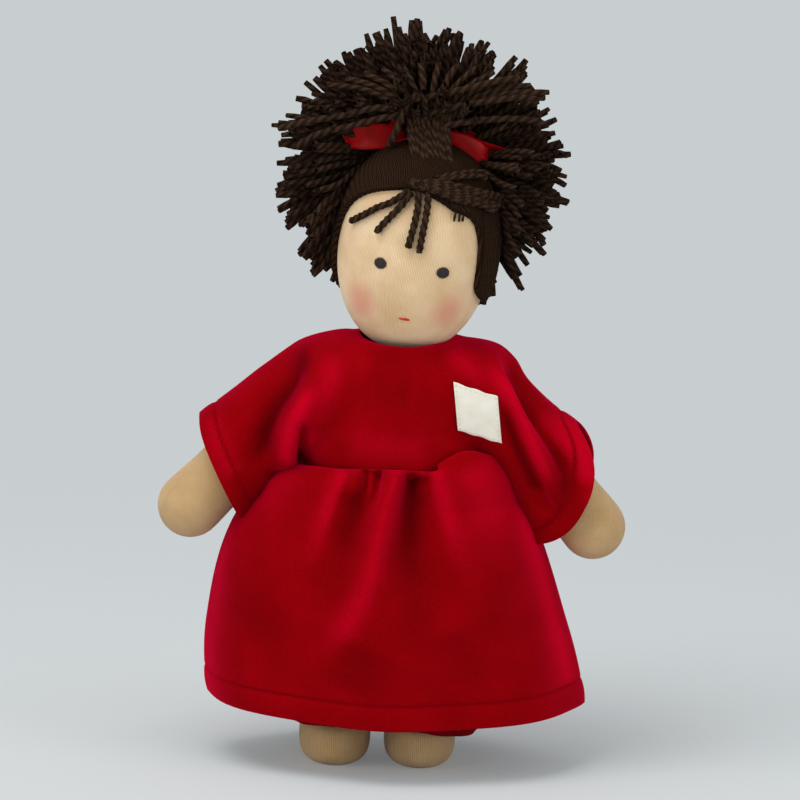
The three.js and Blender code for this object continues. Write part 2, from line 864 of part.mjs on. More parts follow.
// A foot is rounded on top and pressed nearly flat below by the doll's weight.
function footForm(x, grow, sides) {
  const middle = (footHeight - soleCut) / 2;
  const halfHeight = (footHeight + soleCut) / 2 + grow;
  const rings = [];
  for (let s = 0; s <= footRings; s++) {
    const rise = -Math.cos((s / footRings) * Math.PI);
    const fullness = rise < 0 ? footFullness : 2;
    const share = Math.max(0.03, (1 - Math.abs(rise) ** fullness) ** (1 / fullness));
    rings.push(
      levelRing(
        x,
        -footForward,
        middle + halfHeight * rise,
        (footHalfWidth + grow) * share,
        (footLength / 2 + grow) * share,
        sides,
      ),
    );
  }
  return skinOver(rings);
}

function aboveFloor(solid, z) {
  return solid.subtract(block(-wide, wide, -wide, wide, -wide, z));
}

function buildLeg(name, side) {
  const group = new THREE.Group();
  const filling = skinWall + fillingGap;
  const hollow = aboveFloor(legForm(side, -skinWall, pastRim), skinWall);
  const skin = aboveFloor(legForm(side, 0), 0).subtract(hollow);
  const stuffing = aboveFloor(legForm(side, -filling, 0, legSides / 2), filling);
  const below = block(-wide, wide, -wide, wide, 0, legTop - seamGap);
  group.add(part(`${name}_skin`, skin, tricot));
  group.add(part(`${name}_stuffing`, stuffing.intersect(below), wool));
  return group;
}

function buildTorso() {
  const group = new THREE.Group();
  const filling = skinWall + fillingGap;
  const collar = onHead(neckForm(turningGap, neckFoot - turningGap, 0));
  const skin = torsoForm(0).subtract(torsoForm(-skinWall, pastRim)).subtract(collar);
  const stuffing = torsoForm(-filling, 0, torsoSides / 2).subtract(collar);
  group.add(part("torso_skin", skin, tricot));
  group.add(part("torso_stuffing", stuffing, wool));

  const tieRadius = neckRadius + turningGap;
  const tieReach = tieRadius + neckTieThickness;
  const tieFoot = torsoTopHeight - neckHeight + seamGap + tieReach * Math.sin(headTilt);
  const tie = onHead(
    hoop(0, 0, tieFoot, tieRadius, tieRadius, neckTieThickness, neckTieThickness),
  );
  group.add(part("neck_tie", tie, elastic));
  return group;
}

// The strip that joins torso and legs: unstuffed and sewn flat, so that the doll can sit.
// Its rounded edges are the lines that the torso and the legs fold on.
function buildHipStrip() {
  const half = hipStripDepth / 2;
  const outline = new THREE.Shape();
  outline.absarc(0, hipHeight, half, 0, Math.PI);
  outline.absarc(0, legHingeHeight, half, Math.PI, 2 * Math.PI);
  const strip = new THREE.ExtrudeGeometry(outline, {
    depth: 2 * torsoHipHalfWidth,
    bevelEnabled: false,
    curveSegments: 8,
  });
  strip.rotateX(Math.PI / 2);
  strip.rotateZ(Math.PI / 2);
  strip.translate(leanAt(hipHeight) - torsoHipHalfWidth, 0, 0);
  return part("hip_strip", solidOf(strip), tricot);
}

// The dress above the waist: a rounded body and two wide sleeves cut in one with it.
function bodiceBody(grow, extra) {
  const chest = necklineHeight - waistSeamHeight;
  const at = (share) => waistSeamHeight + share * chest;
  const stations = [
    [at(0), bodiceHalfWidth, bodiceHalfDepth],
    [at(0.25), bodiceHalfWidth + 0.5, bodiceHalfDepth],
    [at(0.5), bodiceHalfWidth, bodiceHalfDepth - 1.5],
    [at(0.72), bodiceHalfWidth - 2, bodiceHalfDepth - 4],
    [at(0.88), bodiceHalfWidth - 7, bodiceHalfDepth - 7],
    [at(1), neckHalfWidth, neckHalfDepth],
  ];
  const ring = (z, halfWidth, halfDepth) =>
    levelRing(leanAt(z), 0, z, halfWidth + grow, halfDepth + grow, dressSides, dressFullness);
  const rings = stationCurve(stations, dressRings).map((p) => ring(p.z, p.x, p.y));
  if (extra > 0) {
    rings.unshift(ring(waistSeamHeight - extra, bodiceHalfWidth, bodiceHalfDepth));
    rings.push(ring(necklineHeight + extra, neckHalfWidth, neckHalfDepth));
  }
  return skinOver(rings);
}

function sleeveForm(side, grow, hemExtra = 0) {
  const middle = leanAt(shoulderHeight);
  const lowered = side > 0 ? leftArmLowered : rightArmLowered;
  const pivot = new THREE.Vector3(torsoChestHalfWidth + armRootRadius, 0, shoulderHeight);
  const insideBody = torsoTopRadius;
  const turned = (x, z) =>
    new THREE.Vector3(x, 0, z)
      .sub(pivot)
      .applyAxisAngle(new THREE.Vector3(0, 1, 0), lowered)
      .add(pivot);
  const upper = new THREE.CatmullRomCurve3([
    new THREE.Vector3(insideBody, 0, necklineHeight - shoulderNeckDrop),
    new THREE.Vector3(
      bodiceHalfWidth - shoulderSeamInset,
      0,
      shoulderHeight + shoulderSeamRise,
    ),
    turned(sleeveTopReach * sleeveMiddleShare, shoulderHeight + sleeveMiddleRise),
    turned(sleeveTopReach, shoulderHeight - sleeveTopDrop),
  ]);
  const lower = new THREE.CatmullRomCurve3([
    new THREE.Vector3(insideBody, 0, waistSeamHeight + 2 * armpitRise),
    new THREE.Vector3(bodiceHalfWidth, 0, waistSeamHeight + armpitRise),
    turned(sleeveInnerReach, shoulderHeight - sleeveInnerDrop),
    turned(sleeveUnderReach, shoulderHeight - sleeveUnderDrop),
  ]);
  const rings = [];
  for (let s = 0; s <= dressRings; s++) {
    const t = s / dressRings;
    const top = upper.getPoint(t);
    const under = lower.getPoint(t);
    const centre = top.clone().add(under).multiplyScalar(0.5);
    const along = top.clone().sub(under);
    const half = along.length() / 2 + grow;
    along.normalize();
    const narrowing = t ** 0.8;
    const depth =
      THREE.MathUtils.lerp(sleeveRootHalfDepth, sleeveHalfDepth, narrowing) + grow;
    const rounding = sleeveHemRound * t ** 3;
    rings.push({ centre, along, half, depth, rounding });
  }
  if (hemExtra > 0) {
    const last = rings.at(-1);
    const onward = new THREE.Vector3(last.along.z, 0, -last.along.x);
    rings.push({ ...last, centre: last.centre.clone().addScaledVector(onward, hemExtra) });
  }
  return skinOver(
    rings.map(({ centre, along, half, depth, rounding }) =>
      Array.from({ length: sleeveSides }, (_, i) => {
        const turn = (i / sleeveSides) * 2 * Math.PI;
        const [u, v] = roundedPoint(turn, half, depth, sleeveFullness);
        const back = rounding * Math.abs(u / half) ** 4;
        return new THREE.Vector3(
          middle + side * (centre.x + along.x * u - along.z * back),
          v,
          centre.z + along.z * u + along.x * back,
        );
      }),
    ),
  );
}

function dressForm(grow, openings = 0) {
  return bodiceBody(grow, openings)
    .add(sleeveForm(1, grow, openings))
    .add(sleeveForm(-1, grow, openings));
}

// A patch of the dress's own surface inside a prism that runs from front to back.
function dressPatch(prism, thickness) {
  return dressForm(seamGap + thickness).subtract(dressForm(seamGap)).intersect(prism);
}

// The sewn label is left bare. The cloth under it is pulled, so it sits a little out of square.
function buildLabel() {
  const across = new THREE.Vector2(Math.cos(labelTurn), Math.sin(labelTurn));
  const upward = new THREE.Vector2(Math.sin(labelSlant), Math.cos(labelSlant));
  const corners = [[-1, -1], [1, -1], [1, 1], [-1, 1]].map(([u, v]) =>
    new THREE.Vector2(leanAt(shoulderHeight) + labelSideways, labelMiddleHeight)
      .addScaledVector(across, (u * labelWidth) / 2)
      .addScaledVector(upward, (v * labelHeight) / 2),
  );
  const prism = new THREE.ExtrudeGeometry(new THREE.Shape(corners), {
    depth: bodiceHalfDepth * 2,
    bevelEnabled: false,
  });
  prism.rotateX(Math.PI / 2);
  return part("label", dressPatch(solidOf(prism), labelWall), cream);
}

// The dress opens down the back and closes with one button at the neck.
function buildButton() {
  const drum = new THREE.CylinderGeometry(
    buttonDiameter / 2,
    buttonDiameter / 2,
    bodiceHalfDepth * 2,
    16,
  );
  drum.translate(leanAt(necklineHeight), bodiceHalfDepth, 0);
  drum.translate(0, 0, necklineHeight - buttonDiameter);
  return part("back_button", dressPatch(solidOf(drum), buttonThickness), buttonPlastic);
}

function buildDress() {
  const group = new THREE.Group();
  const middle = leanAt(shoulderHeight);
  const shell = dressForm(0).subtract(dressForm(-velourWall, pastRim));
  const slit = block(
    middle - backSlitWidth / 2,
    middle + backSlitWidth / 2,
    0,
    wide,
    necklineHeight - backSlitLength,
    wide,
  );
  const bodice = shell
    .intersect(block(middle - armholeReach, middle + armholeReach, -wide, wide, 0, wide))
    .subtract(slit);
  group.add(part("bodice", bodice, velour));

  const seam = armholeReach + seamGap;
  for (const [name, side] of [["sleeve_left", 1], ["sleeve_right", -1]]) {
    const tube = sleeveForm(side, 0).subtract(sleeveForm(side, -velourWall, pastRim));
    const beyond =
      side > 0
        ? block(middle + seam, wide, -wide, wide, 0, wide)
        : block(-wide, middle - seam, -wide, wide, 0, wide);
    group.add(part(name, tube.intersect(beyond), velour));
  }

  const ring = hoop(
    leanAt(necklineHeight),
    0,
    necklineHeight + seamGap,
    neckHalfWidth - velourWall,
    neckHalfDepth - velourWall,
    velourWall,
    bindingThickness,
    dressFullness,
  );
  group.add(part("neck_binding", ring, velour));
  group.add(buildLabel());
  group.add(buildButton());
  return group;
}

// Trousers of thin jersey: one seat and two wide legs, drawn in by an elastic at the waist.
function trousersForm(grow, extra = 0) {
  const waistHalfWidth = torsoBellyHalfWidth + trouserEase;
  const waistHalfDepth = torsoBellyHalfDepth + trouserEase;
  const overlap = 6;
  const seatStations = [
    [crotchHeight - overlap, trouserLegSideways + trouserLegHalfWidth, trouserLegHalfDepth],
    [hipHeight + pastRim, torsoBellyHalfWidth + trouserHipEase, trouserLegHalfDepth + 3],
    [waistbandHeight - elasticWidth - 3, waistHalfWidth, waistHalfDepth],
    [waistbandHeight, waistHalfWidth, waistHalfDepth],
  ];
  const ring = (z, halfWidth, halfDepth) =>
    levelRing(
      leanAt(z),
      0,
      z,
      halfWidth + grow,
      halfDepth + grow,
      trouserSeatSides,
      trouserFullness,
    );
  const seatRings = stationCurve(seatStations, legRings).map((p) => ring(p.z, p.x, p.y));
  if (extra > 0) seatRings.push(ring(waistbandHeight + extra, waistHalfWidth, waistHalfDepth));
  let form = skinOver(seatRings);
  for (const side of [1, -1]) {
    const low = trouserHemHeight - extra;
    const rings = [
      [low, -trouserHemForward, trouserLegHalfWidth, trouserHemHalfDepth],
      [(low + crotchHeight) / 2, 0, trouserLegHalfWidth - 1, trouserLegHalfDepth],
      [crotchHeight + 2, 0, trouserLegHalfWidth - 2, trouserLegHalfDepth - 1],
    ].map(([z, y, halfWidth, halfDepth]) => {
      const x = side * trouserLegSideways;
      return levelRing(x, y, z, halfWidth + grow, halfDepth + grow, trouserLegSides);
    });
    form = form.add(skinOver(rings));
  }
  return form;
}

function buildTrousers() {
  const group = new THREE.Group();
  const tube = trousersForm(0).subtract(trousersForm(-jerseyWall, pastRim));
  group.add(part("trousers", tube, jersey));
  const ease = trouserEase - jerseyWall - elasticThickness - 2 * seamGap;
  const band = hoop(
    leanAt(waistbandHeight),
    0,
    waistbandHeight - elasticWidth - seamGap,
    torsoBellyHalfWidth + ease,
    torsoBellyHalfDepth + ease,
    elasticThickness,
    elasticWidth,
    trouserFullness,
  );
  group.add(part("waist_elastic", band, elastic));
  return group;
}

// The skirt hangs from the waist seam in soft folds, gathered at the front and the back.
function skirtRing(share, grow) {
  const z = THREE.MathUtils.lerp(waistSeamHeight - seamGap, skirtHemHeight, share);
  const flare = 1 - (1 - share) ** skirtFlare;
  const halfWidth = THREE.MathUtils.lerp(skirtTopHalfWidth, skirtHemHalfWidth, flare);
  const halfDepth = THREE.MathUtils.lerp(skirtTopHalfDepth, skirtHemHalfDepth, flare);
  const straight = THREE.MathUtils.lerp(leanAt(waistSeamHeight), skirtHemSideways, share);
  const x = straight - skirtBelly * Math.sin(Math.PI * share);
  const count = foldCount * 5;
  const pleated = Math.sin(Math.PI * Math.min(1, share * 1.6));
  return Array.from({ length: count }, (_, i) => {
    const angle = (i / count) * 2 * Math.PI;
    const fold = foldDepth * share * Math.cos(foldCount * angle);
    const facing = Math.abs(Math.sin(angle)) ** 6;
    const gather = gatherDepth * pleated * facing * Math.cos(2 * foldCount * angle);
    const out = fold + gather + grow;
    const [u, v] = roundedPoint(angle, halfWidth + out, halfDepth + out, dressFullness);
    const sag = skirtHemSag * share * Math.sin(angle) ** 2;
    return new THREE.Vector3(x + u, v, z - sag);
  });
}

function buildSkirt() {
  const shares = [0, 0.12, 0.26, 0.42, 0.6, 0.8, 1];
  const outer = shares.map((share) => skirtRing(share, 0));
  const inner = shares.map((share) => skirtRing(share, -velourWall)).reverse();
  return part("skirt", skinOver([...outer, ...inner], true), velour);
}

const doll = new THREE.Group();
doll.position.set(bodySideways, -bodyForward, 0);
doll.add(buildTorso());
doll.add(buildHipStrip());
doll.add(buildHead());
doll.add(buildWig());
doll.add(buildFringe());
doll.add(buildArm("arm_left", 1, leftArmLowered));
doll.add(buildArm("arm_right", -1, rightArmLowered));
doll.add(buildLeg("leg_left", 1));
doll.add(buildLeg("leg_right", -1));
doll.add(buildTrousers());
doll.add(buildDress());
doll.add(buildSkirt());

const group = new THREE.Group();
group.add(doll);
export default group;
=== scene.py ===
# A soft cloth doll with a yarn wig and a red velour dress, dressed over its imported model.
# Sizes are millimetres in the doll's own frame: x to the doll's left, y to its back, z up.
# The function at() turns them into metres in the model's frame.
import math
import random
from collections import namedtuple

import bmesh
import bpy
from mathutils import Matrix, Vector
from mathutils.bvhtree import BVHTree


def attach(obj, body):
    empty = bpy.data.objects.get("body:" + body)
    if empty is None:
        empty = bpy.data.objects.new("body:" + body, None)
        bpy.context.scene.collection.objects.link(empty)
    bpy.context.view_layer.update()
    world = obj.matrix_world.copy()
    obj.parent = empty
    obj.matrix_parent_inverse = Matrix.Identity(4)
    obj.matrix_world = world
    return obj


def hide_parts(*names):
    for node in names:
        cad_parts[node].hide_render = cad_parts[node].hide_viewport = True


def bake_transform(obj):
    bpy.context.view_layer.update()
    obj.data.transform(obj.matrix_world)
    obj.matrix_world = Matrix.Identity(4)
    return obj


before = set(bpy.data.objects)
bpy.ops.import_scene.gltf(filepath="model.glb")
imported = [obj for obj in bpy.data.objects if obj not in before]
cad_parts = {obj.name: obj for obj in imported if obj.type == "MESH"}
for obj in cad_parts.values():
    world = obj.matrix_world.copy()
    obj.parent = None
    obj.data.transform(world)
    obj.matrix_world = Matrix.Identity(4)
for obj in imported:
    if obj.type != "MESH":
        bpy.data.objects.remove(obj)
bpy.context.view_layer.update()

MM = 0.001
BODY_SIDEWAYS = -3.1
BODY_FORWARD = -13.2
BODY_LEAN = 6

NECK_HEIGHT = 200
SHOULDER_HEIGHT = 181
WAIST_HEIGHT = 147
SKIRT_HEM_HEIGHT = 30

HEAD_TILT = math.radians(6.5)
HEAD_TURN = math.radians(-4.5)
HEAD_BOTTOM = -3
HEAD_TOP = 95.5
HEAD_HALF_WIDTH = 36.3
HEAD_HALF_DEPTH = 36
HEAD_FULLNESS = 2.15
CAP_LIFT = 3.3

YARN_RADIUS = 1.7
# The length in which a strand's plies turn once.
YARN_TWIST = 8.5
FINE_WELD = 1e-6


def at(x, y, z):
    """A place on the doll, in metres in the model's frame."""
    return Vector((x + BODY_SIDEWAYS, y + BODY_FORWARD, z)) * MM


def lean_at(z):
    return BODY_LEAN * z / NECK_HEIGHT


def mix(a, b, share):
    return a + (b - a) * share


def clamp(share):
    return min(1, max(0, share))


def smooth(share):
    share = clamp(share)
    return share * share * (3 - 2 * share)


def wave(value, fullness):
    """A sine or cosine value drawn out towards a rounded square."""
    return math.copysign(abs(value) ** (2 / fullness), value)


def curve_through(stations, share):
    """A smooth value between stations, which are (share, value, value, ...)."""
    last = len(stations) - 1
    index = 0
    while index < last - 1 and share > stations[index + 1][0]:
        index += 1
    a, b = stations[index], stations[index + 1]
    before = stations[max(index - 1, 0)]
    after = stations[min(index + 2, last)]
    span = b[0] - a[0]
    t = clamp((share - a[0]) / span)
    values = []
    for k in range(1, len(a)):
        slope_a = (b[k] - before[k]) / max(b[0] - before[0], 1e-6) * span
        slope_b = (after[k] - a[k]) / max(after[0] - a[0], 1e-6) * span
        values.append(
            a[k] * (2 * t**3 - 3 * t**2 + 1)
            + slope_a * (t**3 - 2 * t**2 + t)
            + b[k] * (3 * t**2 - 2 * t**3)
            + slope_b * (t**3 - t**2)
        )
    return values


# Materials

# A wave texture of scale 1 has this many bands to a unit.
BANDS_PER_UNIT = 3.1831
# Where a node that mixes colours has its inputs and its outcome.
MIX_FACTOR, MIX_A, MIX_B, MIX_RESULT = 0, 6, 7, 2
# The middle of each cheek's rouge, and how far it reaches.
CHEEKS = [((-17, -25, 223.5), 15), ((28, -30, 219.5), 15)]
BLUSH_CORE = 2
BLUSH_STRENGTH = 0.72
DOT_SPACING = 0.0075
DOT_SHIFT = (0.002, 0.0038, 0)


def feed(made, inputs):
    """Sets a node's inputs, by name or order, to numbers, colours or other nodes' outputs."""
    for key, value in inputs.items():
        socket = made.inputs[key]
        if isinstance(value, bpy.types.NodeSocket):
            made.id_data.links.new(value, socket)
        elif socket.type == "RGBA":
            socket.default_value = (*value, 1)
        else:
            socket.default_value = value


def node(tree, kind, inputs=None, **settings):
    made = tree.nodes.new(f"ShaderNode{kind}")
    for key, value in settings.items():
        setattr(made, key, value)
    feed(made, inputs or {})
    return made


def material(name, roughness, colour, gloss=0.5, looks=None):
    """A new material with its node tree and its shader."""
    made = bpy.data.materials.new(name)
    made.use_nodes = True
    shader = made.node_tree.nodes["Principled BSDF"]
    basics = {"Roughness": roughness, "Base Color": colour, "Specular IOR Level": gloss}
    feed(shader, {**basics, **(looks or {})})
    return made, made.node_tree, shader


def where(tree, source="UV"):
    """A point's place on the flat cloth (UV) or in the piece itself (Object), in metres."""
    return node(tree, "TexCoord").outputs[source]


def blotches(tree, scale, detail=3, roughness=0.55):
    """Soft noise through the piece."""
    inputs = {"Vector": where(tree, "Object"), "Scale": scale, "Detail": detail}
    return node(tree, "TexNoise", {**inputs, "Roughness": roughness}).outputs["Fac"]


def ridges(tree, axis, pitch, wobble=0.0):
    """Ridges of a given pitch in metres across one axis of the flat cloth."""
    inputs = {"Vector": where(tree), "Scale": 1 / (pitch * BANDS_PER_UNIT), "Distortion": wobble}
    kind = {"bands_direction": axis, "wave_profile": "SIN"}
    return node(tree, "TexWave", {**inputs, "Detail": 1.0}, **kind).outputs["Fac"]


def calculated(tree, operation, *values, kind="Math", **settings):
    """The outcome of a sum on numbers, places or other nodes' outputs."""
    inputs = dict(enumerate(values))
    return node(tree, kind, inputs, operation=operation, **settings).outputs["Value"]


def ranged(tree, value, limits, how="LINEAR"):
    """A value carried over from one range to another: limits are from, from, to, to."""
    inputs = dict(zip(("From Min", "From Max", "To Min", "To Max"), limits))
    made = node(tree, "MapRange", {**inputs, "Value": value}, interpolation_type=how)
    return made.outputs["Result"]


def ramp(tree, factor, *stops):
    """Colours along a value, given as (place, colour)."""
    made = node(tree, "ValToRGB", {"Fac": factor})
    elements = made.color_ramp.elements
    while len(elements) < len(stops):
        elements.new(0.5)
    for element, (position, colour) in zip(elements, stops):
        element.position = position
        element.color = (*colour, 1)
    return made.outputs["Color"]


def blend_colours(tree, factor, a, b, how="MIX"):
    inputs = {MIX_FACTOR: factor, MIX_A: a, MIX_B: b}
    made = tree.nodes.new("ShaderNodeMix")
    made.data_type = "RGBA"
    made.blend_type = how
    feed(made, inputs)
    return made.outputs[MIX_RESULT]


def toned(tree, colour, pattern, dark, light):
    """The colour multiplied by two tones that follow a pattern."""
    tones = ramp(tree, pattern, (0.3, dark), (0.7, light))
    return blend_colours(tree, 1.0, colour, tones, "MULTIPLY")


def two_toned(shader, pattern, a, b, start=0.3, end=0.7):
    """Colours the shader in two tones that follow a pattern."""
    feed(shader, {"Base Color": ramp(shader.id_data, pattern, (start, a), (end, b))})


def raised(shader, height, distance, strength):
    """Adds a relief to the shader, over any relief that it has already."""
    relief = {"Strength": strength, "Distance": distance, "Height": height}
    bump = node(shader.id_data, "Bump", relief)
    if shader.inputs["Normal"].links:
        feed(bump, {"Normal": shader.inputs["Normal"].links[0].from_socket})
    feed(shader, {"Normal": bump.outputs["Normal"]})


def grey(value):
    return value, value, value


def linear(red, green, blue):
    """A display colour of 0 to 255 in the renderer's own scale."""
    return tuple(
        c / 12.92 if c <= 0.04045 else ((c + 0.055) / 1.055) ** 2.4
        for c in (red / 255, green / 255, blue / 255)
    )


def with_blush(tree, colour):
    """Rouge rubbed on both cheeks: soft rounds on the front of the head."""
    for middle, reach in CHEEKS:
        away = calculated(tree, "DISTANCE", where(tree, "Object"), at(*middle), kind="VectorMath")
        limits = (reach * MM, BLUSH_CORE * MM, 0.0, BLUSH_STRENGTH)
        amount = ranged(tree, away, limits, "SMOOTHERSTEP")
        colour = blend_colours(tree, amount, colour, linear(226, 140, 112))
    return colour


def tricot_material(name, tones, blushed=False):
    """Fine knitted cotton with its wales along the limb."""
    sheen = {"Sheen Weight": 0.25, "Sheen Roughness": 0.5}
    made, tree, shader = material(name, 0.9, tones[1], 0.2, sheen)
    wales = ridges(tree, "X", 0.0008, 0.4)
    # The tones follow the wales' relief: painted shade between the wales and painted highlight on their
    # crests.
    colour = ramp(tree, wales, *zip((0.0, 0.55, 1.0), tones))
    colour = toned(tree, colour, blotches(tree, 60), linear(236, 226, 210), grey(1))
    if blushed:
        colour = with_blush(tree, colour)
    feed(shader, {"Base Color": colour})
    raised(shader, wales, 0.00022, 0.7)
    raised(shader, ridges(tree, "Y", 0.0006, 0.6), 0.0001, 0.5)
    return made


def velour_material(name):
    """Cotton velour: a short deep pile that shines pink at its edges and is drawn in by stitches.
    Painted highlight and painted shade lie along its folds.
    """
    sheen = {"Sheen Weight": 1.0, "Sheen Roughness": 0.4, "Sheen Tint": linear(255, 0, 68)}
    made, tree, shader = material(name, 0.9, linear(140, 0, 6), 0.02, sheen)
    tones = linear(134, 0, 4), linear(143, 0, 6), linear(153, 0, 8)
    colour = ramp(tree, blotches(tree, 34, 2, 0.5), *zip((0.3, 0.5, 0.7), tones))
    # Painted highlight, pink, where the painted shading value is above zero, and painted shade, dark
    # red, where it is below zero.
    for tone, factor in ((linear(206, 0, 34), 1), (linear(84, 0, 4), -1)):
        painted_shading = node(tree, "Attribute", attribute_name="nap").outputs["Fac"]
        amount = calculated(tree, "MULTIPLY", painted_shading, factor, use_clamp=True)
        colour = blend_colours(tree, amount, colour, tone)
    sewn = node(tree, "Attribute", attribute_name="stitch").outputs["Fac"]
    colour = blend_colours(tree, sewn, colour, linear(122, 0, 6))
    colour = toned(tree, colour, blotches(tree, 1100, 2, 0.7), grey(0.86), grey(1.1))
    feed(shader, {"Base Color": colour})
    raised(shader, blotches(tree, 2600, 2, 0.7), 0.0004, 0.5)
    return made


def yarn_material(name, dark, light, turns_per_metre=95):
    """Plied yarn: two plies wind round each other, with loose fibres between."""
    made, tree, shader = material(name, 0.95, dark, 0.03)
    along = node(tree, "SeparateXYZ", {"Vector": where(tree)}).outputs
    wound = calculated(tree, "MULTIPLY_ADD", along["Y"], turns_per_metre, along["X"])
    ply = calculated(tree, "SINE", calculated(tree, "MULTIPLY", wound, 2 * math.tau))
    level = ranged(tree, ply, (-1, 1, 0, 1))
    fibres = blotches(tree, 1500, 2, 0.7)
    # Painted shade in the grooves between the plies and painted highlight on their crests: the colour
    # follows the plies' relief.
    groove_shade = tuple(c * 0.62 for c in dark)
    colour = ramp(tree, level, (0.0, groove_shade), (0.35, dark), (1.0, light))
    feed(shader, {"Base Color": toned(tree, colour, fibres, grey(0.55), grey(1.2))})
    raised(shader, level, 0.0006, 0.9)
    raised(shader, fibres, 0.0003, 0.5)
    return made


def satin_material(name):
    made, tree, shader = material(name, 0.28, linear(176, 0, 6), 0.1, {"Anisotropic": 0.5})
    two_toned(shader, blotches(tree, 90), linear(136, 0, 2), linear(174, 0, 4))
    raised(shader, ridges(tree, "Y", 0.0003), 0.00005, 0.4)
    return made


def jersey_material(name):
    """Thin dark red jersey with small pale dots in even rows."""
    made, tree, shader = material(name, 0.9, linear(112, 0, 8), 0.05)
    place = node(tree, "VectorMath", {0: where(tree), 1: DOT_SHIFT}, operation="ADD").outputs["Vector"]
    dots = node(tree, "TexVoronoi", {"Vector": place, "Scale": 1 / DOT_SPACING, "Randomness": 0.0})
    two_toned(shader, dots.outputs["Distance"], linear(250, 226, 216), linear(122, 0, 10), 0.08, 0.11)
    raised(shader, ridges(tree, "X", 0.0007, 0.3), 0.00015, 0.6)
    return made


def woven_material(name, colour, shade):
    """Plain woven tape: fine threads over and under each other."""
    made, tree, shader = material(name, 0.85, colour)
    two_toned(shader, blotches(tree, 160), shade, colour)
    for axis in "XY":
        raised(shader, ridges(tree, axis, 0.0004, 0.3), 0.00008, 0.6)
    return made


def thread_material(name, dark, light):
    """Embroidery thread with its own fine strands."""
    made, tree, shader = material(name, 0.7, dark)
    strands = blotches(tree, 2200, 2, 0.6)
    two_toned(shader, strands, dark, light, 0.35)
    raised(shader, strands, 0.0002, 0.6)
    return made


def plastic_material(name, colour, shade):
    made, tree, shader = material(name, 0.35, colour)
    patches = blotches(tree, 120)
    two_toned(shader, patches, shade, colour)
    raised(shader, patches, 0.0001, 0.2)
    return made


# The limbs' tones are darker and warmer than the head's: partly painted shade with red reflected from
# the dress, partly a difference in the cotton itself.
shaded_limb_tones = (linear(190, 154, 106), linear(212, 177, 128), linear(222, 190, 144))
lit_head_tones = (linear(232, 196, 152), linear(250, 217, 174), linear(254, 228, 190))
tricot = tricot_material("tricot_limbs", shaded_limb_tones)
tricot_face = tricot_material("tricot_head", lit_head_tones, blushed=True)
velour = velour_material("velour_dress")
hair_dark = linear(50, 34, 25)
hair_light = linear(67, 49, 37)
hair_yarn = yarn_material("yarn_tuft", hair_dark, hair_light)
satin = satin_material("satin_ribbon")
jersey = jersey_material("jersey_dots")
label_tape = woven_material("label_tape", linear(252, 247, 234), linear(244, 237, 218))
elastic_tape = woven_material("elastic_tape", linear(240, 238, 232), linear(224, 220, 212))
eye_thread = thread_material("thread_eyes", linear(20, 15, 14), linear(60, 48, 44))
mouth_thread = thread_material("thread_mouth", linear(190, 20, 26), linear(226, 44, 44))
sewing_thread = thread_material("thread_label", linear(226, 214, 190), linear(244, 238, 224))
wool = thread_material("wool_filling", linear(216, 204, 180), linear(240, 232, 214))
button_plastic = plastic_material("button_plastic", linear(150, 12, 28), linear(120, 6, 20))


# Meshes


def surface(name, columns, rows, place, paint, flat=(1, 1), body=None):
    """A sheet made from a grid. place(u, v) gives each point of it, in metres."""
    mesh = bmesh.new()
    add_surface(mesh, columns, rows, place, flat)
    return finished(mesh, name, paint, body)


def add_surface(mesh, columns, rows, place, flat=(1, 1)):
    """Lays a grid on a surface and gives it the flat cloth's own coordinates."""
    grid = bmesh.ops.create_grid(mesh, x_segments=columns, y_segments=rows, size=0.5)
    texture = mesh.loops.layers.uv.verify()
    shares = {corner: (corner.co.x + 0.5, corner.co.y + 0.5) for corner in grid["verts"]}
    for corner, (u, v) in shares.items():
        for loop in corner.link_loops:
            loop[texture].uv = (u * flat[0], v * flat[1])
    for corner, (u, v) in shares.items():
        corner.co = place(u, v)
    return grid["verts"]


def added(name, data):
    """A new object in the scene."""
    made = bpy.data.objects.new(name, data)
    bpy.context.scene.collection.objects.link(made)
    return made


def finished(mesh, name, paint, body=None, weld=1e-5):
    """Closes the seams, turns the faces outwards and makes the object."""
    bmesh.ops.remove_doubles(mesh, verts=mesh.verts, dist=weld)
    bmesh.ops.recalc_face_normals(mesh, faces=mesh.faces)
    for face in mesh.faces:
        face.smooth = True
    data = bpy.data.meshes.new(name)
    mesh.to_mesh(data)
    mesh.free()
    data.materials.append(paint)
    made = added(name, data)
    if body:
        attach(made, body)
    return made


def modifier(made, kind, **settings):
    modified = made.modifiers.new(kind.lower(), kind)
    for key, value in settings.items():
        setattr(modified, key, value)


def thickened(made, wall, offset=-1):
    modifier(made, "SOLIDIFY", thickness=wall * MM, offset=offset)


def stands_for(made, node_name):
    """Puts a piece in the place of a node of the model."""
    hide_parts(node_name)
    return made


def stuffed(made):
    """Makes a cotton skin the cover of a padded part of the same name."""
    stands_for(made, f"{made.name}_skin")
    return made


# Camera, light and floor

CAMERA_ELEVATION = math.radians(12)
CAMERA_ROLL = math.radians(2)
CAMERA_DISTANCE = 8
CAMERA_LENS = 766
VIEW_MIDDLE = Vector((2.2, -13.2, 172.7)) * MM

lens = bpy.data.cameras.new("camera")
lens.lens = CAMERA_LENS
lens.sensor_width = 36
lens.clip_end = 40
camera = added("camera", lens)
towards = Vector((0, -math.cos(CAMERA_ELEVATION), math.sin(CAMERA_ELEVATION)))
camera.location = VIEW_MIDDLE + towards * CAMERA_DISTANCE
camera.rotation_euler = (
    towards.to_track_quat("Z", "Y").to_matrix() @ Matrix.Rotation(CAMERA_ROLL, 3, "Z")
).to_euler()
bpy.context.scene.camera = camera
bpy.context.scene.view_settings.view_transform = "Standard"


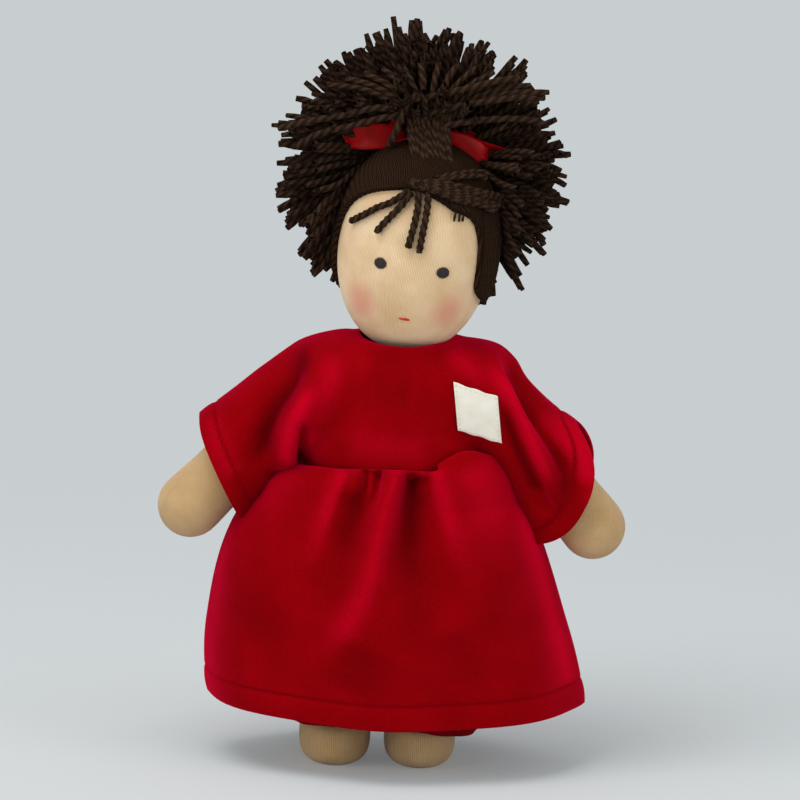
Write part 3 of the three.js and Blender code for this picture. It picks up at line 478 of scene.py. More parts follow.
def soft_light(name, place, size, power):
    """A square lamp that faces the doll's middle."""
    lamp = bpy.data.lights.new(name, "AREA")
    lamp.size = size
    lamp.energy = power
    made = added(name, lamp)
    made.location = place
    made.rotation_euler = (Vector(place) - VIEW_MIDDLE).to_track_quat("Z", "Y").to_euler()


soft_light("light_above", (-0.5, -0.5, 1.9), 1.2, 17)
soft_light("light_left", (-1.6, -1.2, 0.9), 1.0, 9)
soft_light("light_right", (1.5, -0.9, 0.8), 1.0, 7)

BACKGROUND = linear(200, 206, 208)
# The paper takes on the background's own colour from 0.1 to 0.75 m away from the doll.
SHADOW_REACH = (0.1, 0.75, 0.2, 1.0)


def backdrop_material():
    """Pale paper: it shows its own colour to the camera and takes the doll's soft shadow."""
    made, tree, shader = material("studio_paper", 0.9, linear(214, 218, 218), 0.1)
    two_toned(shader, blotches(tree, 3), linear(213, 217, 218), linear(217, 221, 221))
    away = calculated(tree, "LENGTH", where(tree, "Object"), kind="VectorMath")
    evened = ranged(tree, away, SHADOW_REACH, "SMOOTHSTEP")
    seen = node(tree, "LightPath").outputs["Is Camera Ray"]
    even = node(tree, "Emission", {"Color": BACKGROUND}).outputs["Emission"]
    share = calculated(tree, "MULTIPLY", seen, evened)
    both = node(tree, "MixShader", {0: share, 1: shader.outputs["BSDF"], 2: even})
    feed(tree.nodes["Material Output"], {"Surface": both.outputs["Shader"]})
    return made


world = bpy.data.worlds.new("studio")
world.use_nodes = True
bpy.context.scene.world = world
sky = world.node_tree.nodes["Background"]
feed(sky, {"Color": (0.95, 0.98, 1.0), "Strength": 0.55})
seen_sky = node(world.node_tree, "Background", {"Color": BACKGROUND})
rays = node(world.node_tree, "LightPath").outputs["Is Camera Ray"]
either = node(world.node_tree, "MixShader", {0: rays, 1: sky.outputs[0], 2: seen_sky.outputs[0]})
feed(world.node_tree.nodes["World Output"], {"Surface": either.outputs[0]})

FLOOR_REACH = 4.0


def floor_place(u, v):
    return Vector((mix(-FLOOR_REACH, FLOOR_REACH, u), mix(-FLOOR_REACH, FLOOR_REACH, v), 0))


surface("floor", 8, 8, floor_place, backdrop_material())


# Head

head_matrix = (
    Matrix.Translation((lean_at(NECK_HEIGHT) - 1, 0, NECK_HEIGHT))
    @ Matrix.Rotation(HEAD_TILT, 4, "Y")
    @ Matrix.Rotation(HEAD_TURN, 4, "Z")
)
head_middle = (HEAD_BOTTOM + HEAD_TOP) / 2
head_half_height = (HEAD_TOP - HEAD_BOTTOM) / 2


def on_head(x, y, z):
    """A place on the tilted head, measured from the foot of its own axis."""
    return at(*(head_matrix @ Vector((x, y, z))))


def head_share(z, lift=0):
    high = min(1, abs(z - head_middle) / (head_half_height + lift))
    return (1 - high**HEAD_FULLNESS) ** (1 / HEAD_FULLNESS)


def head_point(turn, rise, lift=0):
    """A point of the head: turn goes round it in radians, rise from -1 to 1 up it."""
    z = head_middle + (head_half_height + lift) * math.sin(rise * math.pi / 2)
    share = head_share(z, lift)
    return (
        (HEAD_HALF_WIDTH + lift) * share * math.sin(turn),
        -(HEAD_HALF_DEPTH + lift) * share * math.cos(turn),
        z,
    )


def face_point(x, z, lift):
    """The place on the front of the head behind a point of the front view."""
    share = head_share(z, lift)
    across = x / ((HEAD_HALF_WIDTH + lift) * share)
    depth = (HEAD_HALF_DEPTH + lift) * share * math.sqrt(max(0, 1 - across * across))
    return on_head(x, -depth, z)


def head_surface(u, v):
    return on_head(*head_point((u - 0.5) * math.tau, v * 2 - 1))


head_flat = (math.tau * HEAD_HALF_WIDTH * MM, math.pi * head_half_height * MM)
stuffed(surface("head", 72, 48, head_surface, tricot_face, head_flat, "head"))


def stitch(mesh, a, b, radius, lift):
    """One thread that lies over the cloth from a to b, a little raised in the middle."""
    axis = b - a
    side = axis.cross(lift).normalized()
    up = lift.normalized()

    def place(u, v):
        turn = u * math.tau
        high = math.sin(math.pi * v)
        slim = max(0.05, high**0.35)
        centre = a + axis * v + up * radius * 1.2 * high
        return centre + (side * math.cos(turn) + up * math.sin(turn)) * radius * slim

    add_surface(mesh, 8, 8, place, (1, axis.length))


EYE_HEIGHT = 43
EYE_SPACING = 29.6
EYE_RADIUS = 3.0
EYE_STITCHES = 9
EYE_FILL = 0.92
FACE_SIDEWAYS = 1.3
MOUTH_HEIGHT = 17.8
# Each stitch of the mouth: its two ends, seen from the front, from the mouth's middle.
MOUTH_STITCHES = [(-2.7, 0.25, 0.9, -0.35), (-0.9, 0.1, 2.7, -0.3), (-0.2, 0.55, 2.5, 0.25)]
THREAD_RADIUS = 0.42
THREAD_LIFT = 0.1
THREAD_CREST = 2


def sewn_eye(name, side):
    """Upright stitches side by side fill a round."""
    mesh = bmesh.new()
    for i in range(EYE_STITCHES):
        across = (i + 0.5) / EYE_STITCHES * 2 - 1
        half = EYE_RADIUS * math.sqrt(1 - across * across * EYE_FILL)
        x = FACE_SIDEWAYS + side * EYE_SPACING / 2 + across * EYE_RADIUS * EYE_FILL
        low = face_point(x, EYE_HEIGHT - half, THREAD_LIFT)
        high = face_point(x, EYE_HEIGHT + half, THREAD_LIFT)
        lift = face_point(x, EYE_HEIGHT, THREAD_CREST) - (low + high) / 2
        stitch(mesh, low, high, THREAD_RADIUS * MM, lift)
    stands_for(finished(mesh, f"embroidered_{name}", eye_thread, "head"), name)


def sewn_mouth():
    """Short stitches that overlap at the middle."""
    mesh = bmesh.new()
    for x0, z0, x1, z1 in MOUTH_STITCHES:
        a = face_point(FACE_SIDEWAYS + x0, MOUTH_HEIGHT + z0, THREAD_LIFT)
        b = face_point(FACE_SIDEWAYS + x1, MOUTH_HEIGHT + z1, THREAD_LIFT)
        lift = face_point((x0 + x1) / 2, MOUTH_HEIGHT, THREAD_CREST) - (a + b) / 2
        stitch(mesh, a, b, THREAD_RADIUS * MM, lift)
    stands_for(finished(mesh, "embroidered_mouth", mouth_thread, "head"), "mouth")


sewn_eye("eye_left", 1)
sewn_eye("eye_right", -1)
sewn_mouth()


# Body and limbs

ARM_RADIUS = 15.4
ARM_ROOT_RADIUS = 12.5
SHOULDER_OUT = 26.5 + ARM_ROOT_RADIUS + 0.5
ARM_REACH = 57.5
ARM_DROP = 62
ELBOW = (30, 33)
LEFT_ARM_LOWERED = math.radians(4)

LEG_SPACING = 40
LEG_TOP = 90.7
LEG_RADIUS = 15
ANKLE_RADIUS = 13.8
FOOT_HALF_WIDTH = 16.8
FOOT_HALF_LENGTH = 27
FOOT_HEIGHT = 29
FOOT_FORWARD = 1
FOOT_FULLNESS = 3.5
SOLE_CUT = 1.2
# The foot takes this share of the leg's rows, up to this share of the way round its height.
FOOT_ROWS = 0.55
FOOT_ARC = 0.86
TORSO_FULLNESS = 2.2
FOOT_MIDDLE = (FOOT_HEIGHT - SOLE_CUT) / 2
FOOT_HALF_HEIGHT = (FOOT_HEIGHT + SOLE_CUT) / 2
# The share of the way up the shin, and half the leg's width and depth there.
LEG_STATIONS = [
    (0.0, ANKLE_RADIUS, ANKLE_RADIUS), (0.12, ANKLE_RADIUS, ANKLE_RADIUS),
    (0.3, ANKLE_RADIUS + 0.4, ANKLE_RADIUS + 0.4), (0.55, LEG_RADIUS, LEG_RADIUS),
    (0.8, LEG_RADIUS, LEG_RADIUS - 2.5), (1.0, LEG_RADIUS - 1.5, 2.4),
]
# A height, and half the torso's width and depth there.
TORSO_STATIONS = [
    (99.8, 29, 2.6), (108, 31, 11), (120, 32.5, 21), (136, 33, 26),
    (163, 29, 24), (179, 26.5, 22), (188, 21.5, 19), (191, 15, 15),
]


def bezier(points, share):
    """A smooth bend that starts and ends at the outer points."""
    while len(points) > 1:
        points = [a.lerp(b, share) for a, b in zip(points, points[1:])]
    return points[0]


def arm_surface(side, lowered):
    """A bent roll with a rounded hand, from the shoulder down and out, and its length."""
    shoulder = Vector((lean_at(SHOULDER_HEIGHT) + side * SHOULDER_OUT, 0, SHOULDER_HEIGHT))
    lower = Matrix.Rotation(side * lowered, 3, "Y")
    bend = [Vector((0, 0, 0)), Vector((side * ELBOW[0], 0, -ELBOW[1]))]
    bend.append(Vector((side * ARM_REACH, 0, -ARM_DROP)))
    steps = [(bezier(bend, (i + 1) / 40) - bezier(bend, i / 40)).length for i in range(40)]
    length = sum(steps)

    def place(u, v):
        along = mix(-ARM_ROOT_RADIUS, length + ARM_RADIUS, (1 - math.cos(v * math.pi)) / 2)
        share = clamp(along / length)
        before, after = max(0, share - 0.02), min(1, share + 0.02)
        tangent = (bezier(bend, after) - bezier(bend, before)).normalized()
        past = along - share * length
        girth = mix(ARM_ROOT_RADIUS, ARM_RADIUS, smooth(share * 1.6))
        girth *= 1 - 0.05 * math.sin(math.pi * smooth(share * 2 - 1))
        radius = girth * math.sqrt(max(0, 1 - (past / girth) ** 2))
        up = Vector((-tangent.z, 0, tangent.x))
        turn = u * math.tau
        centre = bezier(bend, share) + tangent * past + up * radius * math.cos(turn)
        centre += Vector((0, radius * math.sin(turn), 0))
        return at(*(shoulder + lower @ centre))

    return place, length


def stuffed_arm(name, side, lowered):
    place, length = arm_surface(side, lowered)
    flat = (math.tau * ARM_RADIUS * MM, (length + 2 * ARM_RADIUS) * MM)
    stuffed(surface(name, 40, 44, place, tricot, flat))


def foot_size(z):
    """Half the foot's width and length at a height."""
    rise = (z - FOOT_MIDDLE) / FOOT_HALF_HEIGHT
    fullness = FOOT_FULLNESS if rise < 0 else 2
    share = max(0, 1 - abs(rise) ** fullness) ** (1 / fullness)
    return FOOT_HALF_WIDTH * share, FOOT_HALF_LENGTH * share


def foot_height(share):
    return FOOT_MIDDLE - FOOT_HALF_HEIGHT * math.cos(share * math.pi * FOOT_ARC)


def leg_surface(side):
    """A round leg, sewn flat at the top, with a soft foot turned forward."""
    x = side * LEG_SPACING / 2

    def place(u, v):
        turn = u * math.tau
        cos, sin = math.cos(turn), math.sin(turn)
        if v >= FOOT_ROWS:
            share = (v - FOOT_ROWS) / (1 - FOOT_ROWS)
            wide, deep = curve_through(LEG_STATIONS, share)
            deep = 0.2 if share > 0.999 else deep
            return at(x + wide * cos, deep * sin, mix(foot_height(1), LEG_TOP, share))
        z = max(0, foot_height(v / FOOT_ROWS))
        reach = min(1, v / 0.06)
        wide, deep = foot_size(z)
        near = Vector((wide * reach * cos, deep * reach * sin - FOOT_FORWARD, 0))
        if reach < 1:
            return at(x + near.x, near.y, 0)
        far = Vector((ANKLE_RADIUS * cos, ANKLE_RADIUS * sin, 0))
        rise = smooth((z - FOOT_MIDDLE * 1.25) / (FOOT_HEIGHT - FOOT_MIDDLE * 1.1))
        length = max(near.length, far.length * rise)
        spread = near.normalized() * length if near.length > 0.01 else far
        spread = spread.lerp(far, rise)
        return at(x + spread.x, spread.y, z)

    return place


def torso_surface(u, v):
    z = mix(TORSO_STATIONS[0][0], TORSO_STATIONS[-1][0], v)
    wide, deep = curve_through(TORSO_STATIONS, z)
    turn = u * math.tau
    cos, sin = (wave(value, TORSO_FULLNESS) for value in (math.cos(turn), math.sin(turn)))
    return at(lean_at(z) + wide * cos, deep * sin, z)


stuffed_arm("arm_left", 1, LEFT_ARM_LOWERED)
stuffed_arm("arm_right", -1, 0)
leg_flat = (math.tau * LEG_RADIUS * MM, (LEG_TOP + 20) * MM)
for name, side in (("leg_left", 1), ("leg_right", -1)):
    stuffed(surface(name, 40, 60, leg_surface(side), tricot, leg_flat, name))
torso = stuffed(surface("torso", 48, 40, torso_surface, tricot, (0.19, 0.1)))


# Wig

TUFT_CENTRE = Vector((-5.5, 32, 78))
TUFT_AXIS = (TUFT_CENTRE - Vector((0, 0, head_middle))).normalized()
TUFT_SIDE = TUFT_AXIS.orthogonal().normalized()
TUFT_FRONT = TUFT_AXIS.cross(TUFT_SIDE)
TUFT_REACH = 70.5
TUFT_SHARE = 1.78
TUFT_CLUMPS = 175
CLUMP_STRANDS = 5
KNOT_PLACE = (-2.6, 82.6)
KNOT_SIZE = (3.4, 1.3)
GATHER_RADIUS = 29
GATHER_DEPTH = 18
CAP_GROOVES = 78
GROOVE_DEPTH = 0.2
# The cap's edge rolls in over the first rows, down to this height over the head.
EDGE_ROWS = 0.06
EDGE_LIFT = 0.3

# The cap's edge: turn round the head, in radians from the face towards the doll's left, and
# how high it lies there. The hairline is high over the face and drops behind its sides.
CAP_EDGE = [
    (-3.2, 16), (-2.1, 17), (-1.75, 22), (-1.55, 34), (-1.42, 48), (-1.3, 59), (-1.12, 67.5),
    (-0.95, 72), (-0.8, 74.8), (-0.58, 77.5), (-0.28, 79.9), (0.0, 80.4), (0.2, 78.4),
    (0.36, 76.2), (0.54, 73), (0.76, 70.6), (0.88, 67), (0.95, 60), (0.98, 51), (0.99, 42),
    (1.02, 35), (1.12, 31), (1.35, 27), (1.9, 22), (3.2, 16),
]


def cap_row(turn, v):
    """The rise on the head, from -1 to 1, of a row of the cap that starts at its edge."""
    height = curve_through(CAP_EDGE, turn)[0]
    edge = math.asin((height - head_middle) / (head_half_height + CAP_LIFT)) / (math.pi / 2)
    return mix(edge, 1, v)


def cap_shape(u, v):
    """The cap with its grooves, and a rolled edge that comes down to the head."""
    turn = (u - 0.5) * math.tau
    row = (v - EDGE_ROWS) / (1 - EDGE_ROWS)
    if row < 0:
        up = max(0, 1 + row / 0.0639) if row > -0.0638 else 0
        lift = EDGE_LIFT + (CAP_LIFT - EDGE_LIFT) * up**0.5
        row = 0
    else:
        lift = CAP_LIFT - 0.9 * (1 - min(1, row * 9)) ** 2
    groove = GROOVE_DEPTH * math.cos(turn * CAP_GROOVES) * (1 - v**3)
    return on_head(*head_point(turn, cap_row(turn, row), lift + groove))


cap_yarn = yarn_material("yarn_cap", linear(46, 30, 20), linear(60, 41, 29), 60)
cap = surface("hair_cap_yarn", 312, 40, cap_shape, cap_yarn, (78, 0.13), "head")
stands_for(cap, "hair_cap")


def runs_along(points):
    """How far along its line each point lies."""
    runs = [0.0]
    for a, b in zip(points, points[1:]):
        runs.append(runs[-1] + (b - a).length)
    return runs


def yarn(mesh, points, radius, sides, rows, twist, start=0.0):
    """A plied strand along points: an oval section that turns as it goes."""
    lengths = runs_along(points)
    total = lengths[-1]
    across = (points[1] - points[0]).normalized().orthogonal().normalized()
    frames = []
    for row in range(rows + 1):
        wanted = row / rows * total
        index = 0
        while index < len(lengths) - 2 and lengths[index + 1] < wanted:
            index += 1
        a, b = points[index], points[index + 1]
        centre = a.lerp(b, (wanted - lengths[index]) / (lengths[index + 1] - lengths[index]))
        tangent = (b - a).normalized()
        across = (across - tangent * across.dot(tangent)).normalized()
        frames.append((centre, across, tangent.cross(across)))

    def place(u, v):
        row = min(rows, round(v * rows))
        centre, right, up = frames[row]
        turn = u * math.tau
        spun = start + v * total / MM / twist * math.tau
        oval = 1 + 0.16 * math.cos(2 * (turn - spun))
        tip = 0.8 if row in (0, rows) else 1
        return centre + (right * math.cos(turn) + up * math.sin(turn)) * radius * MM * oval * tip

    add_surface(mesh, sides, rows, place, (1, total))


def yarn_piece(mesh, name, node_name=None):
    """Finishes yarn as a piece of the head. It stands for the node of its own name, or another."""
    made = finished(mesh, f"yarn_{name}", hair_yarn, "head", weld=FINE_WELD)
    stands_for(made, node_name or name)


def round_tuft(turn):
    """Straight out of the tuft's axis at a turn round it."""
    return TUFT_SIDE * math.cos(turn) + TUFT_FRONT * math.sin(turn)


def scattered(draw, *limits):
    return Vector([draw(*limits) for _ in range(3)])


def outside_skull(place, gap):
    """Moves a place of the upright head out of the cap, with a gap over it."""
    lift = CAP_LIFT + gap
    x, y, z = place
    reach = math.sqrt(
        (x / (HEAD_HALF_WIDTH + lift)) ** 2
        + (y / (HEAD_HALF_DEPTH + lift)) ** 2
        + ((z - head_middle) / (head_half_height + lift)) ** 2
    )
    if reach >= 1:
        return place
    middle = Vector((0, 0, head_middle))
    return middle + (place - middle) / max(reach, 0.2)


def tuft_strand(mesh, chance, direction, reach, sway, thickness):
    """One strand: up out of the gather, then over and outwards to its own cut end."""
    across = direction - TUFT_AXIS * direction.dot(TUFT_AXIS)
    gather = TUFT_CENTRE - TUFT_AXIS * GATHER_DEPTH
    root = gather + across * GATHER_RADIUS * math.sqrt(chance.uniform(0.15, 1.0))
    rise = TUFT_AXIS * (18 + 8 * max(0, direction.dot(TUFT_AXIS)))
    droop = Vector((0, 0, -7)) * (1 - max(0, direction.z))
    controls = [
        root,
        root + rise,
        TUFT_CENTRE + direction * reach * 0.5 - droop * 0.5 - sway * 0.6,
        TUFT_CENTRE + direction * reach * 0.8 + sway,
        TUFT_CENTRE + direction * reach + droop * 0.5 - sway * 0.2,
    ]
    points = []
    for i in range(9):
        spot = bezier(controls, i / 8)
        points.append(at(*(head_matrix @ outside_skull(spot, 2.0))))
    yarn(mesh, points, thickness, 5, 13, YARN_TWIST, chance.uniform(0, 6))


def in_front_of_ribbon(place):
    """Whether a strand that ends here would hang over the bow or the face."""
    x, y, z = head_matrix @ place
    return y < 20 and abs(x - 11) < 46 and z * 0.978 + y * 0.208 < 307 - 0.005 * (x - 11) ** 2


def hair_tuft():
    """Cut yarn gathered behind the crown, springing out to all sides like a pompon."""
    chance = random.Random(11)
    mesh = bmesh.new()
    golden = math.pi * (3 - math.sqrt(5))
    for i in range(TUFT_CLUMPS):
        along = 1 - TUFT_SHARE * (i + 0.5) / TUFT_CLUMPS
        clump = TUFT_AXIS * along + round_tuft(i * golden) * math.sqrt(1 - along * along)
        clump += scattered(chance.gauss, 0, 0.05)
        clump_reach = TUFT_REACH * chance.uniform(0.93, 1.03)
        clump_sway = scattered(chance.uniform, -1, 1) * 5
        for _ in range(CLUMP_STRANDS):
            direction = (clump + scattered(chance.gauss, 0, 0.085)).normalized()
            reach = clump_reach * chance.uniform(0.92, 1.01)
            sway = clump_sway + scattered(chance.uniform, -1, 1) * 3
            thickness = YARN_RADIUS * chance.uniform(0.85, 1.05)
            if not in_front_of_ribbon(TUFT_CENTRE + direction * reach):
                tuft_strand(mesh, chance, direction, reach, sway, thickness)
    yarn_piece(mesh, "tuft", "hair_tuft")


hair_tuft()


# Loose strands over the bow, each from its root to its tip.
LOOSE_STRANDS = [
    [(-4, -8, 296.2), (-1, -11, 303), (1, -10.5, 309), (4, -8.5, 315), (8, -7, 320.5)],
    [(2, -8, 311), (-10, -9, 308.5), (-22, -8, 304.5), (-36, -4, 300), (-48, 0, 292)],
    [(-1, -8, 314), (-14, -8, 313), (-26, -6, 309), (-42, -2, 305), (-56, 2, 300)],
    [(7, -8, 318), (19, -9, 321), (32, -8, 324.5), (46, -5, 328), (56, -2, 329)],
    [(14, -8, 312), (28, -9, 316), (44, -7, 319), (58, -2, 320), (68, 3, 319)],
    [(20, -8, 306), (34, -9, 309), (48, -6, 310), (60, 0, 309), (70, 5, 306)],
]


def smooth_line(marks):
    """Close places along a smooth line through marks, which are (share, x, y, z)."""
    return [Vector(curve_through(marks, k / 12)) for k in range(13)]


def crown_strands():
    """Yarn that runs from the cap over the middle of the ribbon and out into the tuft."""
    chance = random.Random(3)
    mesh = bmesh.new()
    for i in range(13):
        share = i / 12
        arch = math.sin(math.pi * share)
        start = face_point(mix(-9, 13.5, share), chance.uniform(88.5, 91.5), CAP_LIFT - 2.6)
        crest = face_point(mix(-7, 11.5, share) + chance.uniform(-1, 1), 93.5, CAP_LIFT - 0.5)
        over = at(mix(5.5, 23, share) + chance.uniform(-1, 1), -9, mix(303.5, 302.5, share))
        top = at(mix(3, 27, share) + chance.uniform(-2, 2), -6, 311 + chance.uniform(-2, 2))
        bend = at(mix(-14, 46, share), -4, 321 + 4 * arch)
        end = at(mix(-34, 70, share), 2, 322 + 12 * arch)
        marks = [(0, *start), (0.12, *crest), (0.3, *over), (0.5, *top), (0.75, *bend), (1, *end)]
        thickness = YARN_RADIUS * chance.uniform(0.85, 1)
        yarn(mesh, smooth_line(marks), thickness, 6, 18, YARN_TWIST, chance.uniform(0, 6))
    for line in LOOSE_STRANDS:
        marks = [(k / 4, *at(*spot)) for k, spot in enumerate(line)]
        yarn(mesh, smooth_line(marks), YARN_RADIUS, 6, 20, YARN_TWIST, chance.uniform(0, 6))
    yarn_piece(mesh, "crown_strands", "hair_tuft")


crown_strands()


def face_strand(points, lift):
    """Places of a strand that lies over the face or the cap, from the front view."""
    return [face_point(x, z, lift + extra) for x, z, extra in points]


# The strands over the forehead, seen from the front: x, z and how far out they lie.
FRINGE = [
    [(-5, 79.5, 1.5), (-9, 75.5, 0.5), (-13.5, 71.6, 0), (-19, 68.3, 0), (-24.5, 63.6, 0), (-31, 58, 0)],
    [(-4, 78.5, 1.5), (-6, 75, 0.5), (-7.6, 72, 0), (-10.8, 67.4, 0), (-14.2, 62.8, 0), (-17.8, 57, 0)],
    [(-1, 80, 1.2), (0, 72, 0.2), (-0.3, 65.6, 0), (-0.9, 59.3, 0), (-1.6, 53, 0)],
    [(3.6, 80, 1.2), (4.4, 72.2, 0.2), (4.4, 66.2, 0), (4.1, 60, 0), (3.9, 51.5, 0)],
]
UPPER_STRAND = [(6, 86, 4.2), (12, 88, 4.6), (18, 89.2, 5), (24, 89.6, 5.5), (29, 89, 8)]
# Short ends under the bundle: where each starts, seen from the front, and how far it runs.
SHORT_ENDS = [(17.5, 73, 5.5), (19.4, 72.5, 5), (21.4, 72, 4.4), (24, 71.5, 2.6)]

for number, points in enumerate(FRINGE, 1):
    mesh = bmesh.new()
    yarn(mesh, face_strand(points, 1.9), 1.6, 8, 40, 6.5)
    yarn_piece(mesh, f"fringe_strand_{number}")


def side_bundle():
    """Strands that lie over the cap from the knot to the doll's left temple."""
    chance = random.Random(5)
    mesh = bmesh.new()
    for i in range(6):
        share = i / 5
        points = [
            (mix(-2.5, -1, share), mix(83, 81.6, share), 4.4),
            (7.5, mix(85, 80.5, share), 4.8 + chance.uniform(-0.3, 0.6)),
            (17.5, mix(83.8, 77.6, share), 5 + chance.uniform(-0.4, 0.8)),
            (28 + chance.uniform(-1, 1), mix(81, 75.6, share), 5 + chance.uniform(-0.4, 0.8)),
            (mix(39, 34.5, share), mix(77, 72.5, share), 6),
        ]
        yarn(mesh, face_strand(points, 0), 1.45, 8, 36, YARN_TWIST, chance.uniform(0, 6))
    for drop in (0, 1.6):
        points = [(x, z - drop, out) for x, z, out in UPPER_STRAND]
        yarn(mesh, face_strand(points, 0), 1.3, 8, 30, YARN_TWIST, chance.uniform(0, 6))
    for x, z, run in SHORT_ENDS:
        points = [(x - 3, z + 4, 3), (x, z, 1.5), (x + chance.uniform(-0.5, 0.9), z - run, 0.5)]
        yarn(mesh, face_strand(points, 0.8), 0.6, 6, 12, 5, chance.uniform(0, 6))
    yarn_piece(mesh, "fringe_strand_5")


side_bundle()


def fringe_knot():
    """The strands are tied down where they leave the cap."""
    mesh = bmesh.new()
    wide, high = KNOT_SIZE
    for turn in (0.3, 1.4, 2.6):
        points = []
        for i in range(11):
            angle = i / 10 * math.tau
            cos, sin = math.cos(angle), math.sin(angle)
            x = KNOT_PLACE[0] + wide * cos * math.cos(turn) - high * sin * math.sin(turn)
            z = KNOT_PLACE[1] + wide * cos * math.sin(turn) * 0.4 + high * sin
            points.append((x, z, CAP_LIFT + 1 + 1.2 * sin))
        yarn(mesh, face_strand(points, 1.0), 1.3, 8, 24, 6)
    yarn_piece(mesh, "fringe_knot")


fringe_knot()


# Satin ribbon

RIBBON_WIDTH = 10
RIBBON_WALL = 0.35
BOW_MIDDLE = Vector((9.5, 5, 299))
KNOT_RADIUS = 5.2
# Each part of the bow: its flat length, and stations along it, which are x, y, z of its
# middle, its seen width and its lean in degrees.
BOW = {
    "loop_right": (63, [
        (6, 5, 297.5, 7, 10), (-1, 1.5, 298, 10, 8), (-10, 0.5, 298.5, 12, 4),
        (-19, 2, 297, 11, -6), (-25, 5, 294.5, 6, -20), (-24, 8, 295.5, 7, 0),
        (-16, 10, 298.5, 10, 8), (-6, 9, 299.5, 9, 8), (4, 8, 299, 7, 10),
    ]),
    "loop_left": (64, [
        (13, 5, 297.5, 7, 10), (20, 1, 298, 9, 14), (29, 0.5, 296.5, 10, 8),
        (37, 2.5, 293, 10, 0), (41.5, 5, 289.5, 9.5, 0), (41, 8.5, 291, 9, 0),
        (33, 11, 296, 9, 6), (23, 10, 299, 9, 8), (14, 8, 299, 7, 10),
    ]),
    "tail_left": (48, [
        (12, 6, 301, 6, 20), (24, 6.5, 299, 8, 40), (36, 7, 295, 9, 55),
        (48, 6, 292.5, 8, 60), (56, 4, 291, 5, 60),
    ]),
    "tail_right": (28, [
        (7, 6, 301, 6, 20), (-1, 6.5, 302, 8, 30), (-9, 7, 302, 9, 30), (-17, 8, 300.5, 8, 30),
    ]),
}


def satin_piece(name, node_name, grid, place, flat, held, rests_on, wall=0.4):
    """A piece of the ribbon, in the place of a node of the model."""
    made = surface(name, *grid, place, satin, flat, "head")
    thickened(made, wall, 0)
    stands_for(made, node_name)


def bow_part(name, length, stations):
    runs = runs_along([Vector(s[:3]) for s in stations])
    marks = [(run / runs[-1], *s) for run, s in zip(runs, stations)]

    def place(u, v):
        x, y, z, width, lean = curve_through(marks, v)
        ahead = Vector(curve_through(marks, min(1, v + 0.02))[:3])
        ahead = (ahead - Vector(curve_through(marks, max(0, v - 0.02))[:3])).normalized()
        upright = Vector((0, 0.15, 1))
        upright = (upright - ahead * upright.dot(ahead)).normalized()
        outward = ahead.cross(upright)
        lean = math.radians(lean)
        across = upright * math.cos(lean) + outward * math.sin(lean)
        cup = 0.8 * (1 - (2 * u - 1) ** 2)
        return at(*(Vector((x, y, z)) + across * (u - 0.5) * width + outward * cup))

    flat = (RIBBON_WIDTH * MM, length * MM)
    of_bow = (f"bow_{name}", f"ribbon_{name}")
    satin_piece(*of_bow, (8, 60), place, flat, "folded", "hair_cap_yarn", RIBBON_WALL)


def knot_surface(u, v):
    """The ribbon pulled over the middle of the bow."""
    turn = u * math.tau
    radius = KNOT_RADIUS * (1 + 0.18 * math.cos(v * math.tau))
    x = BOW_MIDDLE.x + (v - 0.5) * 9 + 0.4 * math.sin(turn * 3)
    return at(x, BOW_MIDDLE.y + radius * math.cos(turn), BOW_MIDDLE.z + radius * math.sin(turn))


def band_surface(u, v):
    """The ribbon round the foot of the tuft."""
    turn = u * math.tau
    radius = math.sqrt(33.7**2 - 10**2) + 0.8 * math.sin(turn * 5) * 0.5
    spot = TUFT_CENTRE + TUFT_AXIS * (-15.5 + 10 * v) + round_tuft(turn) * radius
    return at(*(head_matrix @ outside_skull(spot, 0.8)))


for name, (length, stations) in BOW.items():
    bow_part(name, length, stations)
width = RIBBON_WIDTH * MM
satin_piece(
    "bow_knot", "ribbon_knot", (28, 10), knot_surface, (0.03, width), "folded", "ribbon_band_tied"
)
satin_piece(
    "ribbon_band_tied", "ribbon_band", (80, 8), band_surface, (0.2, width), "stretched", "yarn_tuft"
)


# Dress

BODICE_HALF_DEPTH = 37
BODICE_FULLNESS = 2.1
BACK_ROUNDING = 2.6
NECK_CUT_INSET = 1.4
SMOOTHING_ROUNDS = 22
NECK_RIM = 197.5
NECK_HALF_WIDTH = 22
NECK_HALF_DEPTH = 26.4
NECK_BACKWARD = 1.9
WAIST_SIDE_DROP = 5.5
# The cloth below the waist seam is cut off within this half width and half depth.
WAIST_CUT = (46.5, 45)
ARMHOLE_REACH = 50
SLEEVE_START = 45
SLEEVE_HALF_DEPTH = 22.5
SLEEVE_FULLNESS = 2.2
# The sleeve's form runs on past its hem, where it is cut off.
PAST_HEM = 14
VELOUR_WALL = 1.6
VELOUR_GRAIN = 1.35
SLEEVE_BAND = 8.5
SKIRT_BAND = 13
STITCH_ROW = 0.8
HEM_REACH = 45
# The share of the way up the bodice, and its half width and half depth there.
BODICE_STATIONS = [
    (0.0, 43, 37), (0.25, 43.5, 37), (0.5, 43, 35.5), (0.72, 41, 33), (0.88, 36, 30), (1.0, 27.5, 27),
]
CHEST_MIDDLE = lean_at(SHOULDER_HEIGHT)
# Each sleeve's upper and lower edge, seen from the front as (x, z) from the chest's middle,
# and how far its hem bulges past the straight line between them.
SLEEVES = {
    "left": {
        "side": 1,
        "over": [(12, 202), (26, 203.5), (47, 200), (62, 185), (77, 171), (88, 163)],
        "under": [(10, 152), (38, 148), (45, 140), (50, 126), (61, 105)],
        "bulge": 15,
        "corner": 5,
    },
    "right": {
        "side": -1,
        "over": [(12, 202), (22, 205), (30, 205), (48, 199.5), (64, 188), (80, 175), (96, 162)],
        "under": [(10, 152), (38, 150), (47, 145), (56, 136), (70, 110)],
        "bulge": 0.5,
        "corner": 2,
    },
}

